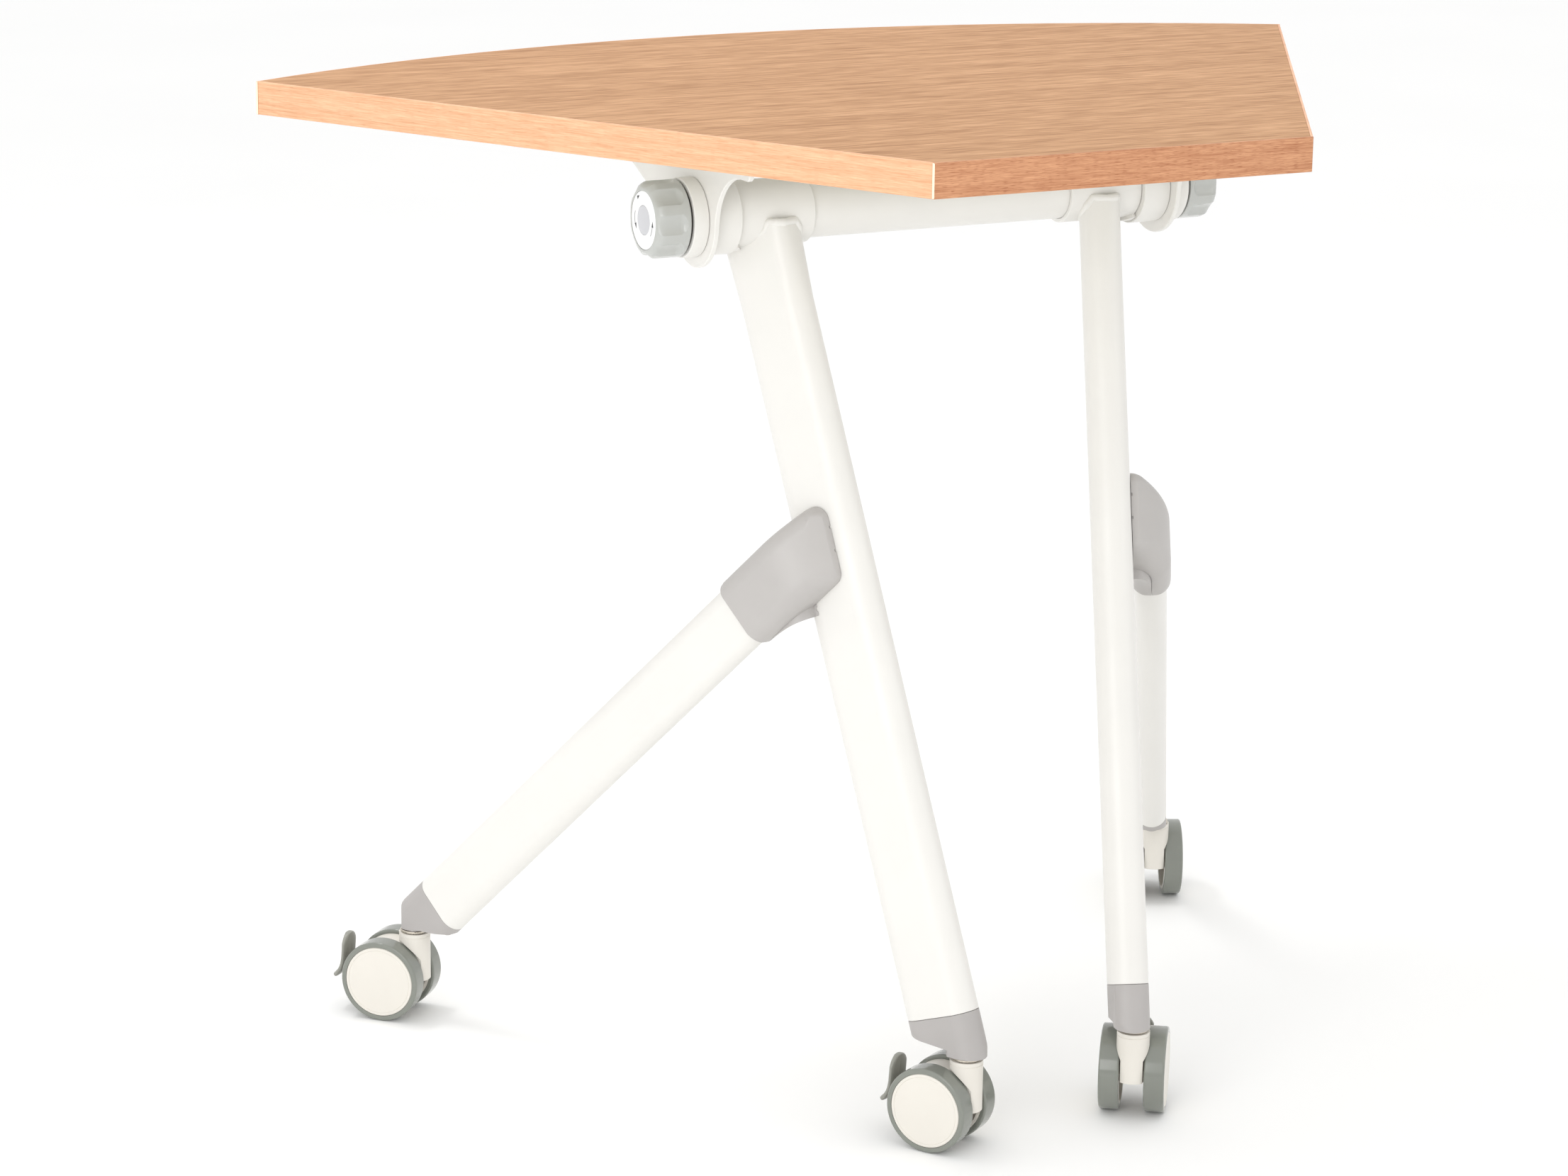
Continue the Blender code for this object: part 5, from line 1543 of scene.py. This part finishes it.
def castor_body_shape():
    """Narrow hood between the wheels with a round boss for the stem and a socket for the lever."""
    axle = (CASTOR_TRAIL, WHEEL_RADIUS)
    socket, chin, throat, half_block = 3.9 * MM, -9 * MM, 32 * MM, 8 * MM
    groove_depth, groove_drop, groove_width = 0.25 * MM, 3.2 * MM, 0.5 * MM
    hood_end = math.atan2(LEVER_PIVOT[1] - axle[1], LEVER_PIVOT[0] - axle[0])
    hood_end += 2 * math.asin(socket / (2 * HOOD_RADIUS))
    hood_top = math.radians(105)
    floor = WHEEL_RADIUS - half_block
    shoulder = CASTOR_BOSS_TOP - CASTOR_SHOULDER_DROP
    outline = arc(axle, HOOD_RADIUS, hood_end, hood_top, 36)
    outline += [
        (0, shoulder),
        (chin, shoulder),
        (chin, throat),
        (CASTOR_TRAIL - half_block, floor),
        (CASTOR_TRAIL + half_block, floor),
    ]
    outline += arc(LEVER_PIVOT, socket, 1.25 * math.pi, hood_end + math.pi / 2, 14)
    half = CASTOR_BODY_WIDTH / 2
    hood = extruded(outline, Y, -half, half)
    boss_floor = CASTOR_BOSS_TOP - CASTOR_BOSS_DEPTH
    steps = [("UNION", cylinder(CASTOR_BOSS_RADIUS, boss_floor, CASTOR_BOSS_TOP, Z, BOSS_SIDES))]
    for ends in ((-WHEEL_OUTER, -half), (half, WHEEL_OUTER)):
        relief = cylinder(WHEEL_RADIUS + WHEEL_ROOM, *ends, Y, ROUND_SIDES)
        steps.append(("DIFFERENCE", moved(relief, TO_AXLE)))
    bore = cylinder(AXLE_BORE, -WHEEL_OUTER, WHEEL_OUTER, Y)
    steps.append(("DIFFERENCE", moved(bore, TO_AXLE)))
    body = combined(hood, *steps, edge=0.7 * MM)
    stem_room = cylinder(STEM_RADIUS + SEAT_GAP, CASTOR_BOSS_TOP - STEM_DEPTH - SEAT_GAP, THROUGH, Z)
    inside, outside = CASTOR_BOSS_RADIUS - groove_depth, CASTOR_BOSS_RADIUS + 2 * MM
    low = CASTOR_BOSS_TOP - groove_drop
    ring = ring_profile(inside, outside, low, low + groove_width, edge=0.1 * MM)
    groove = turned(ring, Z, closed=True, sides=BOSS_SIDES)
    return combined(body, ("DIFFERENCE", stem_room), ("DIFFERENCE", groove))


def stem_shape():
    """Steel stem with the washer that the castor turns under."""
    radius, washer_radius = STEM_RADIUS, STEM_WASHER_RADIUS
    top = STEM_SEAT - SEAT_GAP
    low = top - 1.8 * MM
    foot, head = CASTOR_BOSS_TOP - STEM_DEPTH, STEM_SEAT + STEM_INSERT
    edge = 0.4 * MM
    profile = (
        (radius - edge, foot),
        (radius, foot + edge),
        (radius, low),
        (washer_radius - edge, low),
        (washer_radius, low + edge),
        (washer_radius, top - edge),
        (washer_radius - edge, top),
        (radius, top),
        (radius, head - edge),
        (radius - edge, head),
    )
    return turned(profile, Z, sides=BOSS_SIDES)


class DESK_OT_castors(bpy.types.Operator):
    """Make the castor bodies with their stems and axles"""

    bl_idname = "desk.castors"
    bl_label = "Castor bodies"

    def execute(self, context):
        cream, zinc = cream_nylon(context), zinc_finish(context)
        end = WHEEL_OUTER - 4.8 * MM
        axle = moved(pin(AXLE_RADIUS, -end, end, Y, 0.4 * MM, BORE_SIDES), TO_AXLE)
        add_four("castor_fork", castor_body_shape(), cream, "castor_{}", "castor_body")
        add_four("castor_pin", stem_shape(), zinc, "frame", "castor_stem")
        add_four("castor_axle_pin", axle, zinc, "castor_{}", "castor_axle")
        return {"FINISHED"}


def hub_shape(look):
    """Wheel hub on the +Y side: outer disc with a ring groove, rim and boss on the axle."""
    rim = HUB_RADIUS - 0.1 * MM
    groove, half_groove, boss, boss_foot = 25.9 * MM, 0.28 * MM, 6 * MM, 7.5 * MM
    plate = WHEEL_OUTER - 3.5 * MM
    face = WHEEL_OUTER
    profile = [
        (0.5 * MM, face - 0.1 * MM),
        (groove - 2 * half_groove, face - 0.12 * MM),
        (groove - half_groove, face - 0.14 * MM),
        (groove, face - 0.12 * MM - look.groove_depth),
        (groove + half_groove, face - 0.04 * MM),
        (groove + 2 * half_groove, face),
        (rim - 1.1 * MM, face),
        (rim - 0.6 * MM, face - 0.1 * MM),
        (rim - 0.2 * MM, face - 0.4 * MM),
        (rim, face - 0.9 * MM),
        (rim, WHEEL_INNER + 0.4 * MM),
        (rim - 0.4 * MM, WHEEL_INNER),
        (rim - 2.4 * MM, WHEEL_INNER),
        (rim - 3 * MM, plate - 1 * MM),
        (rim - 4 * MM, plate),
        (boss_foot, plate),
        (boss, plate - 1.5 * MM),
        (boss, WHEEL_INNER),
        (AXLE_BORE, WHEEL_INNER),
        (AXLE_BORE, WHEEL_OUTER - 4.5 * MM),
    ]
    return turned(profile, Y, sides=WHEEL_SIDES)


def tyre_shape():
    """Tyre on the +Y side, with a flat ring beside the disc and narrow rounded edges."""
    corners = (
        ((HUB_RADIUS, WHEEL_INNER), 0.3 * MM),
        ((WHEEL_RADIUS, WHEEL_INNER), 1.6 * MM),
        ((WHEEL_RADIUS, WHEEL_OUTER - 0.2 * MM), 1.5 * MM),
        ((HUB_RADIUS, WHEEL_OUTER - 0.2 * MM), 0.3 * MM),
    )
    return turned(rounded(corners, steps=6), Y, closed=True, sides=WHEEL_SIDES)


class DESK_OT_wheels(bpy.types.Operator):
    """Make the hubs and tyres of the eight wheels"""

    bl_idname = "desk.wheels"
    bl_label = "Wheels"

    def execute(self, context):
        look = context.scene.desk_castor_look
        cream = cream_nylon(context)
        rubber = skin_finish("tyre_polyurethane", look.tyre)
        hub, tyre = hub_shape(look), tyre_shape()
        for name in CASTORS:
            place = castor_place(name)
            for wheel in (f"{name}_a", f"{name}_b"):
                low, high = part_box(f"wheel_hub_{wheel}")
                out = (low + high) / 2 - Vector(JOINTS[f"wheel_{wheel}_roll"]["pos_m"])
                turn = 0 if out.dot(place.to_3x3() @ Vector((0, 1, 0))) > 0 else math.pi
                here = place @ TO_AXLE @ Matrix.Rotation(turn, 4, "Z")
                rider, node = f"wheel_{wheel}", f"wheel_hub_{wheel}"
                add_piece(f"hub_{wheel}", hub.copy(), cream, rider, (node,), here)
                node = f"tyre_{wheel}"
                add_piece(f"tread_{wheel}", tyre.copy(), rubber, rider, (node,), here)
        hub.free()
        tyre.free()
        return {"FINISHED"}


# Brake levers


def smooth_path(points, steps):
    """Points along a smooth curve through the given ones."""
    padded = [points[0] * 2 - points[1], *points, points[-1] * 2 - points[-2]]
    path = []
    for i in range(1, len(padded) - 2):
        a, b, c, d = padded[i - 1 : i + 3]
        for k in range(steps):
            t = k / steps
            bend = (2 * a - 5 * b + 4 * c - d) * t**2 + (3 * b - a - 3 * c + d) * t**3
            path.append(0.5 * (2 * b + (c - a) * t + bend))
    path.append(points[-1])
    return path


def round_end(distance, radius):
    """Share of the full width at a distance from a round end."""
    return math.sqrt(1 - max(0.0, 1 - distance / radius) ** 2)


def pedal_shape():
    """S-curved pedal with a round top, a kicked-out toe and a fine line down its inner face."""
    half, thick, line_half, line_depth = 12.3 * MM, 4.4 * MM, 0.05, 0.4 * MM
    toe_half, toe_round, toe_run, thin, tip = half - 1 * MM, 4 * MM, 14 * MM, 3 * MM, 0.05 * MM
    width_power, depth_power, points = 0.55, 0.7, 14
    corners = ((57.2, 62.3), (57.4, 56), (57.9, 48), (58.6, 41), (60.2, 35), (63.4, 29.8), (67.9, 26))
    path = smooth_path([Vector((x * MM, z * MM)) for x, z in corners], 10)
    along = [0.0]
    for first, second in zip(path, path[1:]):
        along.append(along[-1] + (second - first).length)
    outer = [math.pi * j / points for j in range(points + 1)]
    inner = [math.pi + math.pi * j / points for j in range(1, points)]
    line_angle = math.asin(line_half ** (1 / width_power))
    turns = sorted(outer + inner + [1.5 * math.pi - line_angle, 1.5 * math.pi + line_angle])
    loops = []
    for i, point in enumerate(path):
        ahead = (path[min(i + 1, len(path) - 1)] - path[max(i - 1, 0)]).normalized()
        out = Vector((-ahead.y, ahead.x))
        from_top = along[i] + tip
        from_toe = along[-1] - along[i] + tip
        toe_width = toe_half * round_end(from_toe, toe_round) + 0.2 * MM
        width = min(half * round_end(from_top, half), toe_width)
        depth = thick / 2 * min(1.0, 0.75 + from_toe / toe_run) * math.sqrt(min(1.0, width / thin))
        loop = []
        for angle in turns:
            y = powered(math.cos(angle), width_power) * width
            x = powered(math.sin(angle), depth_power) * depth
            if abs(angle - 1.5 * math.pi) < line_angle / 2:
                x += line_depth * min(1.0, from_top / half, from_toe / half)
            loop.append(Vector((point.x + out.x * x, y, point.y + out.y * x)))
        loops.append(loop)
    return lofted(loops)


def lever_shape():
    """Brake lever: a round knuckle in the hood, an arm and the pedal."""
    low, high, back, front = 37.2 * MM, 42.2 * MM, 49 * MM, 58 * MM
    half_arm, half_knuckle, knuckle_radius = 6.5 * MM, 7.5 * MM, 3.6 * MM
    outline = [(back, low), (front, low), (front, high), (back, high)]
    arm = extruded(outline, Y, -half_arm, half_arm, edge=0.5 * MM)
    knuckle = pin(knuckle_radius, -half_knuckle, half_knuckle, Y, edge=0.4 * MM, sides=48)
    moved(knuckle, Matrix.Translation((LEVER_PIVOT[0], 0, LEVER_PIVOT[1])))
    return combined(pedal_shape(), ("UNION", arm), ("UNION", knuckle))


class DESK_OT_levers(bpy.types.Operator):
    """Make the brake levers of the four castors"""

    bl_idname = "desk.levers"
    bl_label = "Brake levers"

    def execute(self, context):
        grey = skin_finish("lever_plastic", context.scene.desk_castor_look.lever)
        add_four("pedal", lever_shape(), grey, "lever_{}", "brake_lever")
        return {"FINISHED"}


# Stage


CAMERA_PLACE = Vector((-1.4896, -2.8338, 1.2215))
CAMERA_YAW = math.radians(26.047)
CAMERA_PITCH = math.radians(15.092)
CAMERA_ROLL = math.radians(0.700)


def aimed(place, target):
    """Matrix at a place with -Z towards a target."""
    turn = (Vector(target) - Vector(place)).to_track_quat("-Z", "Y")
    return Matrix.Translation(place) @ turn.to_matrix().to_4x4()


def add_light(name, place, target, size, power):
    """Soft box at a place, turned to a target."""
    lamp = bpy.data.lights.new(name, "AREA")
    lamp.shape = "RECTANGLE"
    lamp.size, lamp.size_y = size
    lamp.energy = power
    made = bpy.data.objects.new(name, lamp)
    bpy.context.scene.collection.objects.link(made)
    made.matrix_world = aimed(place, target)


class DESK_OT_stage(bpy.types.Operator):
    """Make the floor, the light and the camera"""

    bl_idname = "desk.stage"
    bl_label = "Stage"

    def execute(self, context):
        scene = context.scene
        look = scene.desk_stage_look
        scene.view_settings.view_transform = "Standard"
        world = bpy.data.worlds.new("white_surroundings")
        world.use_nodes = True
        tree = world.node_tree
        background = tree.nodes["Background"]
        background.inputs["Color"].default_value = (1, 1, 1, 1)
        aim = tree.nodes.new("ShaderNodeTexCoord").outputs["Generated"]
        height = add(tree, "ShaderNodeSeparateXYZ", {0: aim}).outputs["Z"]
        strength = ranged(tree, height, 0.0, 1.0, look.around, look.overhead)
        tree.links.new(strength, background.inputs["Strength"])
        scene.world = world

        floor_material, tree, shader = bare_finish("pale_floor")
        clouded(tree, shader, look.floor, depth=0.015, grain_size=4 * MM, cloud_size=600 * MM)
        shader.inputs["Roughness"].default_value = 0.7
        shader.inputs["Specular IOR Level"].default_value = 0.2
        shape = bmesh.new()
        bmesh.ops.create_circle(shape, cap_ends=True, segments=ROUND_SIDES, radius=FLOOR_RADIUS)
        mesh = mesh_of(shape)
        mesh.materials.append(floor_material)
        floor = bpy.data.objects.new("floor", mesh)
        scene.collection.objects.link(floor)
        floor.location.z = -FLOOR_DROP

        for name, (place, target, size) in SOFT_BOXES.items():
            add_light(f"{name}_light", place, target, size, getattr(look, name))

        lens = bpy.data.cameras.new("camera")
        lens.lens = look.lens
        lens.sensor_width = 36
        lens.sensor_fit = "HORIZONTAL"
        lens.clip_end = 60
        camera = bpy.data.objects.new("camera", lens)
        scene.collection.objects.link(camera)
        turn = Matrix.Rotation(-CAMERA_YAW, 4, "Z") @ Matrix.Rotation(math.pi / 2 - CAMERA_PITCH, 4, "X")
        camera.matrix_world = Matrix.Translation(CAMERA_PLACE) @ turn @ Matrix.Rotation(CAMERA_ROLL, 4, "Z")
        scene.camera = camera
        return {"FINISHED"}


# Panel and registration


OPERATORS = (
    DESK_OT_top,
    DESK_OT_beam,
    DESK_OT_brackets,
    DESK_OT_knobs,
    DESK_OT_legs,
    DESK_OT_covers,
    DESK_OT_caps,
    DESK_OT_castors,
    DESK_OT_wheels,
    DESK_OT_levers,
    DESK_OT_stage,
)


class DESK_PT_looks(bpy.types.Panel):
    """Sizes, colours and makers of the desk"""

    bl_label = "Folding corner desk"
    bl_idname = "DESK_PT_looks"
    bl_space_type = "VIEW_3D"
    bl_region_type = "UI"
    bl_category = "Desk"

    def draw(self, context):
        for pointer, look in LOOKS.items():
            box = self.layout.box()
            box.label(text=look.__doc__)
            for label in look.__annotations__:
                box.prop(getattr(context.scene, pointer), label)
        for operator in OPERATORS:
            self.layout.operator(operator.bl_idname)


CLASSES = (*LOOKS.values(), *OPERATORS, DESK_PT_looks)


def register():
    for one in CLASSES:
        bpy.utils.register_class(one)
    for pointer, look in LOOKS.items():
        setattr(bpy.types.Scene, pointer, bpy.props.PointerProperty(type=look))


def unregister():
    for pointer in LOOKS:
        delattr(bpy.types.Scene, pointer)
    for one in reversed(CLASSES):
        bpy.utils.unregister_class(one)


def main():
    register()
    bpy.ops.desk.top()
    bpy.ops.desk.beam()
    bpy.ops.desk.brackets()
    bpy.ops.desk.knobs()
    bpy.ops.desk.legs()
    bpy.ops.desk.covers()
    bpy.ops.desk.caps()
    bpy.ops.desk.castors()
    bpy.ops.desk.wheels()
    bpy.ops.desk.levers()
    bpy.ops.desk.stage()


if __name__ == "__main__":
    main()
